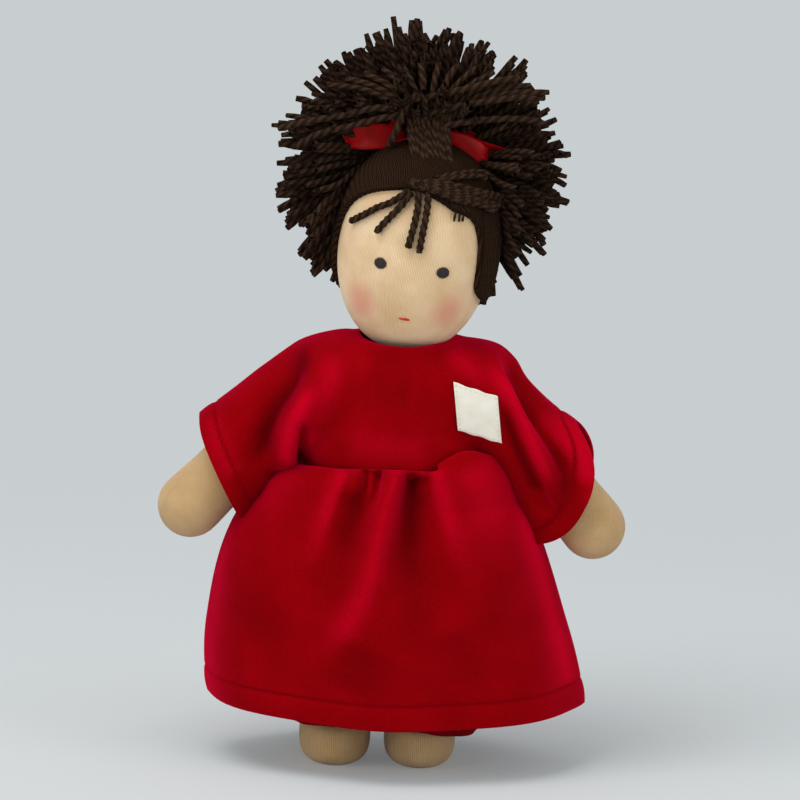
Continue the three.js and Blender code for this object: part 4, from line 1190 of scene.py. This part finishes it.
# A fold seen from one side of the doll: its line from the top down, how softly it falls off
# towards smaller and larger x, how far it stands out (in, below zero), the shares of its line
# over which it begins and ends, and how much softer it gets on the way down. The rows of the
# lists below are such folds.
Fold = namedtuple("Fold", "line left right rise begin end spread")

TOP_FRONT_FOLDS = [
    ([(-31, 203), (-33.5, 188), (-39.5, 176), (-45.5, 165), (-47.5, 152), (-48, 138)],
         4.5, 9, 5.2, 0.35, 0.1, 0),
    ([(-43, 201), (-46, 187), (-54, 170), (-57, 153), (-57, 134)], 9, 5, -6.0, 0.3, 0.2, 0),
    ([(-38.5, 170), (-40.5, 160), (-42, 144)], 1.5, 3.2, -4.6, 0.4, 0.1, 0),
    ([(-36, 172), (-35.5, 160), (-35, 146)], 4, 8, 1.6, 0.3, 0.2, 0),
    ([(42, 203), (50, 193), (57.5, 180), (63, 166), (67, 150), (69, 128)],
         4.2, 3.4, 4.2, 0.3, 0.1, 0),
    ([(50, 201), (58, 190), (66, 178), (71, 164), (74, 150), (75, 136)],
         3.4, 8, -5.4, 0.25, 0.25, 0),
    ([(53, 186), (57.5, 170), (60.5, 157), (64, 143), (67, 128)], 5, 3, -4.6, 0.3, 0.1, 0),
    ([(26, 168), (31, 161), (38, 157)], 3, 3, -1.1, 0.3, 0.3, 0),
    ([(84, 166), (85, 150), (79, 132)], 9, 6, 1.4, 0.3, 0.3, 0),
]
TOP_BACK_FOLDS = [
    ([(-44, 200), (-52, 180), (-54, 160), (-52, 140)], 7, 6, -4.6, 0.3, 0.2, 0),
    ([(-36, 196), (-43, 178), (-46, 160), (-46, 146)], 5, 8, 3.0, 0.3, 0.2, 0),
    ([(50, 200), (60, 180), (63, 160), (62, 140)], 6, 8, -4.8, 0.3, 0.2, 0),
    ([(42, 196), (50, 178), (53, 160), (54, 144)], 8, 5, 3.0, 0.3, 0.2, 0),
]
SKIRT_FRONT_FOLDS = [
    ([(6, 148), (1, 130), (-3, 115), (-7.5, 90), (-21, 62)], 4.4, 3.4, 6.9, 0.02, 0.55, 1.8),
    ([(13.5, 146), (11.5, 128), (11, 109), (16, 84)], 4.2, 6, -8.4, 0.05, 0.5, 1.3),
    ([(-5, 147), (-9, 132), (-15, 114), (-22, 92)], 3.4, 3.6, -5.1, 0.05, 0.6, 1.2),
    ([(-16, 147), (-22, 130), (-30, 110), (-42, 86)], 11, 3.2, 4.2, 0.05, 0.6, 1.0),
    ([(24, 150), (22.5, 143), (29, 128), (40, 102)], 3.0, 9, 5.1, 0.1, 0.5, 0.8),
    ([(-13, 147), (-13.5, 139), (-15, 131)], 1.3, 1.3, 2.7, 0.02, 0.5, 0.6),
    ([(-9.8, 147), (-10.5, 139), (-12, 132)], 1.1, 1.1, -2.7, 0.02, 0.5, 0.6),
    ([(-6.6, 147), (-7.5, 137), (-10, 127)], 1.5, 1.4, 3.0, 0.02, 0.5, 0.8),
    ([(-2.8, 147), (-4, 137), (-6, 128)], 1.2, 1.2, -2.7, 0.02, 0.5, 0.6),
    ([(17.5, 147), (17, 139), (18, 131)], 1.5, 1.4, 2.4, 0.02, 0.5, 0.6),
    ([(4.6, 140), (1.2, 118), (-0.7, 98), (-2, 76)], 0.8, 0.8, -0.9, 0.1, 0.3, 0),
    ([(-58, 120), (-62, 96), (-66, 70)], 12, 12, 2.1, 0.3, 0.4, 0.4),
    ([(60, 104), (66, 80), (72, 60)], 12, 14, -2.7, 0.3, 0.4, 0.4),
]

# Where painted highlight (above zero) or painted shade (below zero) lies on the velour; the last numbers
# as above.
TOP_PAINTED_SHEEN_AND_SHADE = [
    ([(-24, 203), (-27, 188), (-32, 172), (-36, 160)], 6, 5, 0.5, 0.35, 0.6, 0),
    ([(-33, 186), (-41, 172), (-47, 158), (-49, 142)], 3.5, 4, 0.9, 0.25, 0.2, 0),
    ([(-39, 206), (-42, 190), (-50, 176), (-56, 160), (-55, 140)], 6, 4, -0.9, 0.2, 0.2, 0),
    ([(-36, 166), (-36.5, 145)], 3, 7, 0.45, 0.3, 0.1, 0),
    ([(22, 203), (32, 198), (42, 190), (50, 180)], 4.5, 5, 0.5, 0.35, 0.6, 0),
    ([(43, 198), (53, 186), (60, 172), (64, 158), (67, 140)], 3.4, 3, 0.9, 0.3, 0.2, 0),
    ([(52, 196), (62, 184), (70, 168), (73, 150), (72, 132)], 3, 5, -0.7, 0.2, 0.2, 0),
    ([(54, 182), (57, 168), (60, 152), (63, 138)], 3.5, 2.5, -0.8, 0.3, 0.1, 0),
    ([(78, 174), (88, 162), (90, 146), (82, 128)], 7, 6, 0.6, 0.3, 0.3, 0),
    ([(70, 172), (79, 160), (83, 144)], 6, 5, 0.6, 0.2, 0.2, 0),
    ([(-84, 166), (-70, 136)], 6, 5, 0.35, 0.2, 0.2, 0),
    ([(-22, 158), (22, 157)], 7, 7, 0.3, 0.2, 0.2, 0),
    ([(-14, 186), (12, 182)], 10, 10, -0.25, 0.2, 0.2, 0),
]
SKIRT_PAINTED_SHEEN_AND_SHADE = [
    ([(-19, 147), (-24, 136), (-30, 116), (-36, 96)], 4, 2.5, 0.5, 0.1, 0.6, 0.6),
    ([(-40, 146), (-52, 132), (-62, 112)], 5, 6, 0.25, 0.2, 0.5, 0.3),
    ([(-14, 140), (-17, 112), (-26, 84)], 5, 5, -0.5, 0.1, 0.6, 1.0),
    ([(6, 148), (1, 122), (-8, 92), (-22, 66), (-36, 48)], 3.5, 3, 0.5, 0.05, 0.4, 1.6),
    ([(13.5, 146), (11.5, 120), (14, 84), (18, 60)], 4.5, 6, -0.6, 0.05, 0.6, 1.0),
    ([(23, 150), (25, 138), (33, 116), (46, 84)], 2.5, 4, 0.6, 0.1, 0.6, 1.0),
    ([(40, 154), (50, 130), (58, 96)], 11, 9, 0.45, 0.15, 0.5, 0.3),
    ([(62, 136), (74, 100), (88, 56), (92, 38)], 5, 7, 0.75, 0.2, 0.2, 0.3),
    ([(-46, 128), (-60, 90), (-64, 56)], 14, 14, -0.15, 0.3, 0.3, 0.2),
    ([(-6, 70), (-16, 42)], 22, 26, -0.3, 0.3, 0.3, 0),
    ([(34, 80), (44, 44)], 16, 18, -0.3, 0.3, 0.3, 0),
]


def sampled(folds):
    """Each fold with its line as a smooth run of close points."""
    smoothed = []
    for fold in (Fold(*row) for row in folds):
        marks = [(i / (len(fold.line) - 1), *spot) for i, spot in enumerate(fold.line)]
        steps = 4 * (len(fold.line) - 1)
        line = [curve_through(marks, i / steps) for i in range(steps + 1)]
        smoothed.append(fold._replace(line=line))
    return smoothed


def fold_rise(folds, x, z):
    """How far the cloth stands out at a place, from all the folds of that side."""
    total = 0
    for fold in folds:
        steps = len(fold.line) - 1
        reach = 3 * max(fold.left, fold.right) * (1 + fold.spread)
        nearest, offset, along = 1e9, 0, 0
        for i in range(steps):
            (x0, z0), (x1, z1) = fold.line[i], fold.line[i + 1]
            if abs(x - x0) > reach + 12 or abs(z - z0) > reach + 12:
                continue
            dx, dz = x1 - x0, z1 - z0
            share = clamp(((x - x0) * dx + (z - z0) * dz) / (dx * dx + dz * dz))
            gap_x, gap_z = x - x0 - dx * share, z - z0 - dz * share
            gap = gap_x * gap_x + gap_z * gap_z
            if gap < nearest:
                nearest = gap
                offset = dx * gap_z - dz * gap_x
                along = (i + share) / steps
        if nearest > reach * reach:
            continue
        half = (fold.right if offset > 0 else fold.left) * (1 + fold.spread * along)
        fade = smooth(along / fold.begin) * smooth((1 - along) / fold.end)
        total += fold.rise * math.exp(-nearest / (half * half)) * fade
    return total


def band_rise(gap, width):
    """A hem's turned band: a row of stitches drawn in at its width, and a fuller edge."""
    stitched = math.exp(-(((gap - width) / 0.9) ** 2))
    full = 0.5 * math.sin(math.pi * clamp(gap / width)) if gap < width else 0
    return full - 0.4 * stitched


def edge_point(points, share):
    runs = [0.0]
    for (x0, z0), (x1, z1) in zip(points, points[1:]):
        runs.append(runs[-1] + math.hypot(x1 - x0, z1 - z0))
    marks = [(run / runs[-1], *p) for run, p in zip(runs, points)]
    return curve_through(marks, share)


def add_bodice_form(mesh):
    """A closed rounded body from below the waist to above the neckline."""

    def place(u, v):
        turn = u * math.tau
        share = mix(-0.16, 1.1, (v - 0.03) / 0.94)
        wide, deep = curve_through(BODICE_STATIONS, clamp(share))
        z = mix(WAIST_HEIGHT - WAIST_SIDE_DROP * math.cos(turn) ** 2, NECK_RIM, share)
        reach = 0 if v in (0, 1) else 1 + 1.4 * min(0, share)
        x = lean_at(z) + wide * reach * wave(math.cos(turn), BODICE_FULLNESS)
        depth = wave(math.sin(turn), BODICE_FULLNESS)
        y = deep * reach * depth
        if y > 0:
            y += BACK_ROUNDING * smooth(share) * depth
        return at(x, y, z)

    add_surface(mesh, 80, 40, place)


def add_sleeve_form(mesh, shape):
    """A closed flat tube between the sleeve's upper and lower edge, and a little past its hem."""
    def place(u, v):
        turn = u * math.tau
        share = (v - 0.02) / 0.92
        over = Vector(edge_point(shape["over"], clamp(share)))
        under = Vector(edge_point(shape["under"], clamp(share)))
        along = over - under
        half = along.length / 2
        along.normalize()
        onward = Vector((along.y, -along.x))
        centre = (over + under) / 2
        if share > 1:
            centre += onward * PAST_HEM * (share - 1) / 0.065
        reach = 0 if v in (0, 1) else 1
        deep = mix(BODICE_HALF_DEPTH - 6, SLEEVE_HALF_DEPTH, smooth(min(1, share))) * reach
        spot = centre + along * half * reach * wave(math.cos(turn), SLEEVE_FULLNESS)
        y = deep * wave(math.sin(turn), SLEEVE_FULLNESS)
        return at(CHEST_MIDDLE + shape["side"] * spot.x, y, spot.y)

    add_surface(mesh, 64, 40, place)


def evaluated(made):
    """The object's mesh with its modifiers applied."""
    graph = bpy.context.evaluated_depsgraph_get()
    return bpy.data.meshes.new_from_object(made.evaluated_get(graph))


def seen_place(corner):
    """A mesh corner's place in the doll's own millimetres."""
    x, y, z = corner.co / MM
    return x - BODY_SIDEWAYS, y - BODY_FORWARD, z


def hem_gap(shape, x, z):
    """How far a place lies inside the sleeve's straight hem, and where along it, from -1 to 1."""
    over, under = Vector(shape["over"][-1]), Vector(shape["under"][-1])
    along = (over - under).normalized()
    onward = Vector((along.y, -along.x))
    spot = Vector((shape["side"] * (x - CHEST_MIDDLE), z)) - (over + under) / 2
    return -spot.dot(onward), spot.dot(along) / ((over - under).length / 2), onward


def cut_away(mesh, spot, outward, chosen):
    """Cuts off what lies beyond a plane, among the chosen corners only."""
    near = {v for v in mesh.verts if chosen(*seen_place(v))}
    geometry = list(near) + [e for e in mesh.edges if set(e.verts) <= near]
    geometry += [f for f in mesh.faces if set(f.verts) <= near]
    bmesh.ops.bisect_plane(
        mesh, geom=geometry, dist=1e-6, plane_co=spot, plane_no=outward, clear_outer=True
    )


def neck_hole(marker):
    """An upright oval drum that cuts the neck opening."""
    mesh = bmesh.new()
    bmesh.ops.create_cone(mesh, cap_ends=True, segments=96, radius1=1, radius2=1, depth=30 * MM)
    for corner in mesh.verts:
        corner.co.x *= (NECK_HALF_WIDTH - NECK_CUT_INSET) * MM
        corner.co.y *= (NECK_HALF_DEPTH - NECK_CUT_INSET) * MM
        corner.co += at(lean_at(NECK_RIM), NECK_BACKWARD, NECK_RIM + 4)
    return finished(mesh, "neck_hole", marker)


def dress_form():
    """The smooth body and sleeves as one open cloth, cut at the neck, the waist and the hems."""
    mesh = bmesh.new()
    add_bodice_form(mesh)
    for shape in SLEEVES.values():
        add_sleeve_form(mesh, shape)
    form = finished(mesh, "dress_form", velour)
    modifier(form, "REMESH", mode="VOXEL", voxel_size=VELOUR_GRAIN * MM, use_smooth_shade=True)
    modifier(form, "SMOOTH", factor=0.5, iterations=SMOOTHING_ROUNDS)
    marker = bpy.data.materials.new("cutting_tool")
    hole = neck_hole(marker)
    modifier(form, "BOOLEAN", operation="DIFFERENCE", object=hole, material_mode="TRANSFER")
    shaped = bmesh.new()
    shaped.from_mesh(evaluated(form))
    bpy.data.objects.remove(form)
    bpy.data.objects.remove(hole)
    bpy.data.materials.remove(marker)
    drum = [f for f in shaped.faces if f.material_index > 0]
    bmesh.ops.delete(shaped, geom=drum, context="FACES")
    wide, deep = WAIST_CUT
    cut_away(
        shaped,
        at(0, 0, WAIST_HEIGHT - WAIST_SIDE_DROP - 1),
        Vector((0, 0, -1)),
        lambda x, y, z: abs(x - lean_at(WAIST_HEIGHT)) < wide and abs(y) < deep,
    )
    for shape in SLEEVES.values():
        side = shape["side"]
        x, z = shape["under"][-1]
        onward = hem_gap(shape, 0, 0)[2]
        spot = at(CHEST_MIDDLE + side * x, 0, z)
        outward = Vector((side * onward.x, 0, onward.y))
        cut_away(shaped, spot, outward, lambda x, y, z: side * x > SLEEVE_START)
    return shaped


def shape_top(shaped):
    """Lays the folds, rounds the sleeve hems, marks the rows of stitches and paints highlight and shade
    on the cloth.
    """
    folds = {-1: sampled(TOP_FRONT_FOLDS), 1: sampled(TOP_BACK_FOLDS)}
    stitches = shaped.verts.layers.float.new("stitch")
    nap = shaped.verts.layers.float.new("nap")
    painted_shading = sampled(TOP_PAINTED_SHEEN_AND_SHADE)
    shaped.normal_update()
    moves = []
    for corner in shaped.verts:
        x, y, z = seen_place(corner)
        side = 1 if y > 0 else -1
        facing = smooth(abs(y) / 11)
        rise = fold_rise(folds[side], x, z) * facing
        # Painted highlight and shade: on the front from the table, on the back lighter on the folds'
        # crests and darker in their valleys.
        corner[nap] = fold_rise(painted_shading, x, z) * facing if y < 0 else 0.08 * rise
        shift = Vector((0, 0, 0))
        sleeve = SLEEVES["left"] if x > CHEST_MIDDLE else SLEEVES["right"]
        gap, across, onward = hem_gap(sleeve, x, z)
        if gap < HEM_REACH and abs(x) > SLEEVE_START:
            rise += band_rise(gap, SLEEVE_BAND)
            corner[stitches] = math.exp(-(((gap - SLEEVE_BAND) / STITCH_ROW) ** 2))
            near = smooth(1 - gap / HEM_REACH)
            bulge = sleeve["bulge"] * max(0, 1 - abs(across) ** 2.4) * near
            bulge -= sleeve["corner"] * abs(across) ** 6 * near
            shift = Vector((sleeve["side"] * onward.x, 0, onward.y)) * bulge
        moves.append((corner, (corner.normal * rise + shift) * MM))
    for corner, move in moves:
        corner.co += move


def on_plane(edge, x):
    return all(abs(corner.co.x - x) < 1e-5 for corner in edge.verts)


def part_of_top(walled, name, start, end, cuts):
    """The whole cloth from one place across to another, with its ends closed and its shading kept."""
    piece = walled.copy()
    whole = piece.verts.layers.float_vector.new("whole_normal")
    for corner in piece.verts:
        corner[whole] = corner.normal
    outside = [f for f in piece.faces if not start < f.calc_center_median().x < end]
    bmesh.ops.delete(piece, geom=outside, context="FACES")
    for spot in cuts:
        rim = [e for e in piece.edges if e.is_boundary and on_plane(e, spot.x)]
        if rim:
            bmesh.ops.bridge_loops(piece, edges=rim)
    for face in piece.faces:
        face.smooth = True
    data = bpy.data.meshes.new(f"velour_{name}")
    piece.to_mesh(data)
    piece.free()
    normals = [tuple(v.vector) for v in data.attributes["whole_normal"].data]
    data.normals_split_custom_set_from_vertices(normals)
    data.materials.append(velour)
    return stands_for(added(f"velour_{name}", data), name)


def parted_top(walled):
    """Parts the cloth at both armholes. The pieces keep the whole cloth's shading at the cuts."""
    cuts = [at(CHEST_MIDDLE + side * ARMHOLE_REACH, 0, 0) for side in (-1, 1)]
    for spot in cuts:
        geometry = walled.verts[:] + walled.edges[:] + walled.faces[:]
        bmesh.ops.bisect_plane(walled, geom=geometry, dist=1e-7, plane_co=spot, plane_no=(1, 0, 0))
    walled.normal_update()
    low, high = (spot.x for spot in cuts)
    parts = {"sleeve_right": (-1, low), "bodice": (low, high), "sleeve_left": (high, 1)}
    return {name: part_of_top(walled, name, *ends, cuts) for name, ends in parts.items()}


def dress_top():
    """The bodice and both sleeves, shaped as one cloth and then parted at the armholes."""
    shaped = dress_form()
    shape_top(shaped)
    data = bpy.data.meshes.new("dress_whole")
    shaped.to_mesh(data)
    shaped.free()
    whole = added("dress_whole", data)
    thickened(whole, VELOUR_WALL)
    walled = bmesh.new()
    walled.from_mesh(evaluated(whole))
    bpy.data.objects.remove(whole)
    made = parted_top(walled)
    walled.free()
    return made


def bend_between(made, first, second, heights):
    """Bakes the piece's place into its mesh; the two bodies and the heights are not used."""
    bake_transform(made)


def bending_wool(node_name):
    """A copy of the wool inside a soft part, in the part's place."""
    mesh = bmesh.new()
    mesh.from_mesh(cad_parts[node_name].data)
    return stands_for(finished(mesh, f"bending_{node_name}", wool, weld=FINE_WELD), node_name)


dress = dress_top()
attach(dress["bodice"], "torso")
for name, shape in SLEEVES.items():
    arm = f"arm_{name}"
    sleeve = dress[f"sleeve_{name}"]
    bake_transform(sleeve)
    for made in (bpy.data.objects[arm], bending_wool(f"{arm}_stuffing")):
        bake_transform(made)


# Skirt

SKIRT_TOP = (42, 36.5)
SKIRT_HEM = (89, 62)
SKIRT_HEM_SIDEWAYS = 7.5
SKIRT_BELLY = 5
SKIRT_HEM_SAG = 3
SKIRT_LENGTH = 132
BACK_GATHERS = 18
BACK_GATHER_RISE = 2.4
SKIRT_WAVES = 7
SKIRT_WAVE_RISE = 1.3
# How square the skirt's outline is at its seam and at its hem.
SKIRT_FULLNESS = (2.1, 1.82)
# The skirt puffs out over its seam beside the gathers: turn from the front towards the doll's
# left in degrees, how far it rises over the seam and how far it stands out there.
PUFF = [
    (-180, 3, 2.0), (-130, 4, 4.0), (-90, 3, 9.0), (-62, 4, 8.0), (-40, 4, 5.0), (-26, 0.5, 1.5),
    (-14, 0.0, 0.0), (18, 0.0, 0.0), (25, 8.0, 3.0), (40, 15, 6.0), (62, 13, 7.5), (90, 7.0, 6.0),
    (130, 4, 3.5), (180, 3, 2.0),
]
LOBE_SHARE = 0.14
# The heights at the hips that are given with the torso, its wool and the skirt to bend_between.
HIP_BEND = (128, 86)
skirt_folds = sampled(SKIRT_FRONT_FOLDS)


def skirt_surface(u, v):
    """From the waist seam to the hem; u starts and ends at the middle of the back."""
    turn = (u - 0.25) * math.tau + math.pi
    facing = -math.sin(turn)
    degrees = math.degrees(math.atan2(math.cos(turn), facing))
    flare = 1 - (1 - v) ** 2.1
    wide = mix(SKIRT_TOP[0], SKIRT_HEM[0], flare)
    deep = mix(SKIRT_TOP[1], SKIRT_HEM[1], flare)
    rise, puff = curve_through(PUFF, degrees)
    z = mix(WAIST_HEIGHT, SKIRT_HEM_HEIGHT, v)
    z -= WAIST_SIDE_DROP * math.cos(turn) ** 2 * (1 - smooth(v / 0.3))
    over = min(1, v / LOBE_SHARE)
    z += (WAIST_HEIGHT - SKIRT_HEM_HEIGHT) * LOBE_SHARE * (over - over**1.5)
    z += rise * math.sin(math.pi * over**0.75) ** 2
    out = puff * smooth(over * 1.3) * (1 - smooth((v - 0.1) / 0.6))
    x = mix(lean_at(WAIST_HEIGHT), SKIRT_HEM_SIDEWAYS, v) - SKIRT_BELLY * math.sin(math.pi * v)
    fullness = mix(*SKIRT_FULLNESS, v)
    x += wide * wave(math.cos(turn), fullness)
    out += fold_rise(skirt_folds, x, z) * smooth(facing * 3) * smooth(v * 40)
    back = max(0, -facing)
    gathers = BACK_GATHER_RISE * math.cos(math.radians(degrees) * BACK_GATHERS)
    out += gathers * back**2 * smooth(v * 12) * (1 - v) ** 1.5
    out += SKIRT_WAVE_RISE * math.cos(math.radians(degrees) * SKIRT_WAVES + 0.6) * smooth(v * 1.3)
    out += band_rise((1 - v) * SKIRT_LENGTH, SKIRT_BAND)
    sag = SKIRT_HEM_SAG * v * math.sin(turn) ** 2
    return at(
        x + out * wave(math.cos(turn), fullness),
        (deep + out) * wave(math.sin(turn), fullness),
        z - sag,
    )


def velour_skirt():
    mesh = bmesh.new()
    stitches = mesh.verts.layers.float.new("stitch")
    nap = mesh.verts.layers.float.new("nap")
    painted_shading = sampled(SKIRT_PAINTED_SHEEN_AND_SHADE)
    add_surface(mesh, 340, 130, skirt_surface, (0.48, SKIRT_LENGTH * MM))
    texture = mesh.loops.layers.uv.active
    for corner in mesh.verts:
        gap = SKIRT_LENGTH - corner.link_loops[0][texture].uv.y / MM
        corner[stitches] = math.exp(-(((gap - SKIRT_BAND) / STITCH_ROW) ** 2))
        x, y, z = seen_place(corner)
        # Painted highlight and painted shade on the front of the skirt.
        corner[nap] = fold_rise(painted_shading, x, z) * smooth(-y / 16)
    return finished(mesh, "velour_skirt", velour)


skirt = velour_skirt()
thickened(skirt, VELOUR_WALL)
stands_for(skirt, "skirt")
for made in (skirt, torso, bending_wool("torso_stuffing")):
    bend_between(made, "torso", "hips", HIP_BEND)


# Trousers and the small pieces


JERSEY_WALL = 0.9
# The doll's left trouser leg hangs lower, at 1, than its right one, at -1.
TROUSER_HEM = {1: 18.8, -1: 20.5}
TROUSER_LEG_TOP = 92
HEM_WIDENING = 4.5
HEM_DROP = 4.5
HEM_RUFFLES = 9
SEAT_GATHERS = 26
JERSEY_RISE = 0.8
SEAT_FULLNESS = (2.3, 2.2)
SEAT_HEIGHTS = (90, 134)
LEG_BEND = (96, 78)
SEAT_BEND = (126, 98)
# The share of the way up, half the width and depth, and how far out and forward of the hips.
TROUSER_STATIONS = [
    (0.0, 21.4, 26.5, 23, 1.5), (0.08, 22.5, 27.5, 23, 1.5), (0.4, 22, 23, 22.5, 0.5),
    (1.0, 21.4, 18, 22.2, 0),
]
SEAT_STATIONS = [(0.0, 43, 5), (0.1, 43, 17), (0.2, 42, 22), (0.5, 39, 29), (1.0, 37.5, 30.5)]


def trouser_leg_surface(side):
    """A gathered leg. The doll's left one is wider at its hem and drops in front."""

    def place(u, v):
        turn = u * math.tau
        z = mix(TROUSER_HEM[side], TROUSER_LEG_TOP, v)
        wide, deep, out, forward = curve_through(TROUSER_STATIONS, v)
        if side > 0:
            wide += HEM_WIDENING * (1 - smooth(v / 0.4))
        if side > 0 and v < 0.3:
            z -= HEM_DROP * (1 - v / 0.3) * max(0, -math.sin(turn)) * max(0, math.cos(turn))
        ruffle = JERSEY_RISE * math.cos(turn * HEM_RUFFLES) * (1 - v) ** 2
        x = side * out + (wide + ruffle) * math.cos(turn)
        return at(x, (deep + ruffle) * math.sin(turn) - forward, z)

    return place


def trouser_seat_surface(u, v):
    turn = u * math.tau
    wide, deep = curve_through(SEAT_STATIONS, v)
    z = mix(*SEAT_HEIGHTS, v)
    gathers = JERSEY_RISE * math.cos(turn * SEAT_GATHERS) * v
    x = lean_at(z) * v + (wide + gathers) * wave(math.cos(turn), SEAT_FULLNESS[0])
    return at(x, (deep + gathers) * wave(math.sin(turn), SEAT_FULLNESS[1]), z)


def trouser_piece(name, grid, place, flat, bodies, heights):
    """A piece of the trousers; its bodies and heights are given to bend_between."""
    made = surface(name, *grid, place, jersey, flat)
    thickened(made, JERSEY_WALL)
    stands_for(made, "trousers")
    bend_between(made, *bodies, heights)


for name, side in (("left", 1), ("right", -1)):
    bodies = ("hips", f"leg_{name}")
    place = trouser_leg_surface(side)
    flat = (0.13, 0.075)
    trouser_piece(
        f"trouser_leg_{name}", (72, 40), place, flat, bodies, LEG_BEND
    )
flat, bodies = (0.24, 0.045), ("torso", "hips")
trouser_piece(
    "trouser_seat", (120, 30), trouser_seat_surface, flat, bodies, SEAT_BEND
)

NODE_LOOKS = {
    "neck_tie": elastic_tape,
    "hip_strip": tricot,
    "waist_elastic": elastic_tape,
    "back_button": button_plastic,
}
for name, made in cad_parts.items():
    paint = NODE_LOOKS.get(name, wool if name.endswith(("stuffing", "wool")) else None)
    if paint:
        made.data.materials.clear()
        made.data.materials.append(paint)


BINDING_RADIUS = 1.6
BINDING_INSET = 0.6
BINDING_DROP = 2.4
BINDING_ROLL = (-235, 75)


def binding_surface(u, v):
    """A strip of velour rolled over the neck's edge."""
    turn = u * math.tau
    rolled = math.radians(mix(*BINDING_ROLL, v))
    out = BINDING_RADIUS * math.cos(rolled) - BINDING_INSET
    z = NECK_RIM - BINDING_DROP + 3 * math.cos(turn) ** 2 + BINDING_RADIUS * math.sin(rolled)
    y = NECK_BACKWARD + (NECK_HALF_DEPTH + out) * wave(math.sin(turn), BODICE_FULLNESS)
    x = lean_at(z) + (NECK_HALF_WIDTH + out) * wave(math.cos(turn), BODICE_FULLNESS)
    return at(x, y, z)


binding = surface("velour_neck_binding", 96, 16, binding_surface, velour, (0.15, 0.01), "torso")
thickened(binding, 0.6)
stands_for(binding, "neck_binding")

# The label's corners, seen from the front, from its upper right hand corner round to the left.
LABEL_CORNERS = [(30, 188.6), (51, 182), (53.7, 159), (33, 165.4)]
LABEL_LIFT = 0.75
LABEL_FLAT = (22 * MM, 23.4 * MM)
LABEL_WALL = 0.45
LABEL_WAVE = 0.22
LABEL_THREAD_RADIUS = 0.16
SEAM_INSET = 0.055
SEAM_STITCHES = 9

bodice_tree = BVHTree.FromObject(dress["bodice"], bpy.context.evaluated_depsgraph_get())


def bodice_front(x, z):
    """How far forward the finished bodice lies at a place of the front view."""
    met = bodice_tree.ray_cast(at(x, -90, z), Vector((0, 1, 0)))[0]
    return met.y / MM - BODY_FORWARD if met else 0


def label_place(u, v, lift=LABEL_LIFT):
    """A place on the label: it bridges the small dips of the cloth that it is sewn to."""
    top = Vector(LABEL_CORNERS[0]).lerp(Vector(LABEL_CORNERS[1]), u)
    low = Vector(LABEL_CORNERS[3]).lerp(Vector(LABEL_CORNERS[2]), u)
    spot = low.lerp(top, v)
    wavy = LABEL_WAVE * math.sin(u * 15) * abs(2 * v - 1) ** 3
    around = [(0, 0), (-3, 0), (3, 0), (0, -3), (0, 3)]
    y = min(bodice_front(spot.x + dx, spot.y + dz) for dx, dz in around)
    return at(spot.x, y - lift, spot.y + wavy)


def sewn_label():
    made = surface("cotton_label", 36, 36, label_place, label_tape, LABEL_FLAT, "torso")
    thickened(made, LABEL_WALL)
    stands_for(made, "label")
    mesh = bmesh.new()
    near, far = SEAM_INSET, 1 - SEAM_INSET
    for i in range(SEAM_STITCHES):
        begin, end = (i + 0.12) / SEAM_STITCHES, (i + 0.8) / SEAM_STITCHES
        for a, b in (
            ((begin, near), (end, near)),
            ((begin, far), (end, far)),
            ((near, begin), (near, end)),
            ((far, begin), (far, end)),
        ):
            start, finish = (label_place(*spot, LABEL_LIFT + 0.08) for spot in (a, b))
            stitch(mesh, start, finish, LABEL_THREAD_RADIUS * MM, Vector((0, -1, 0)))
    seam = finished(mesh, "label_stitches", sewing_thread, "torso")


sewn_label()
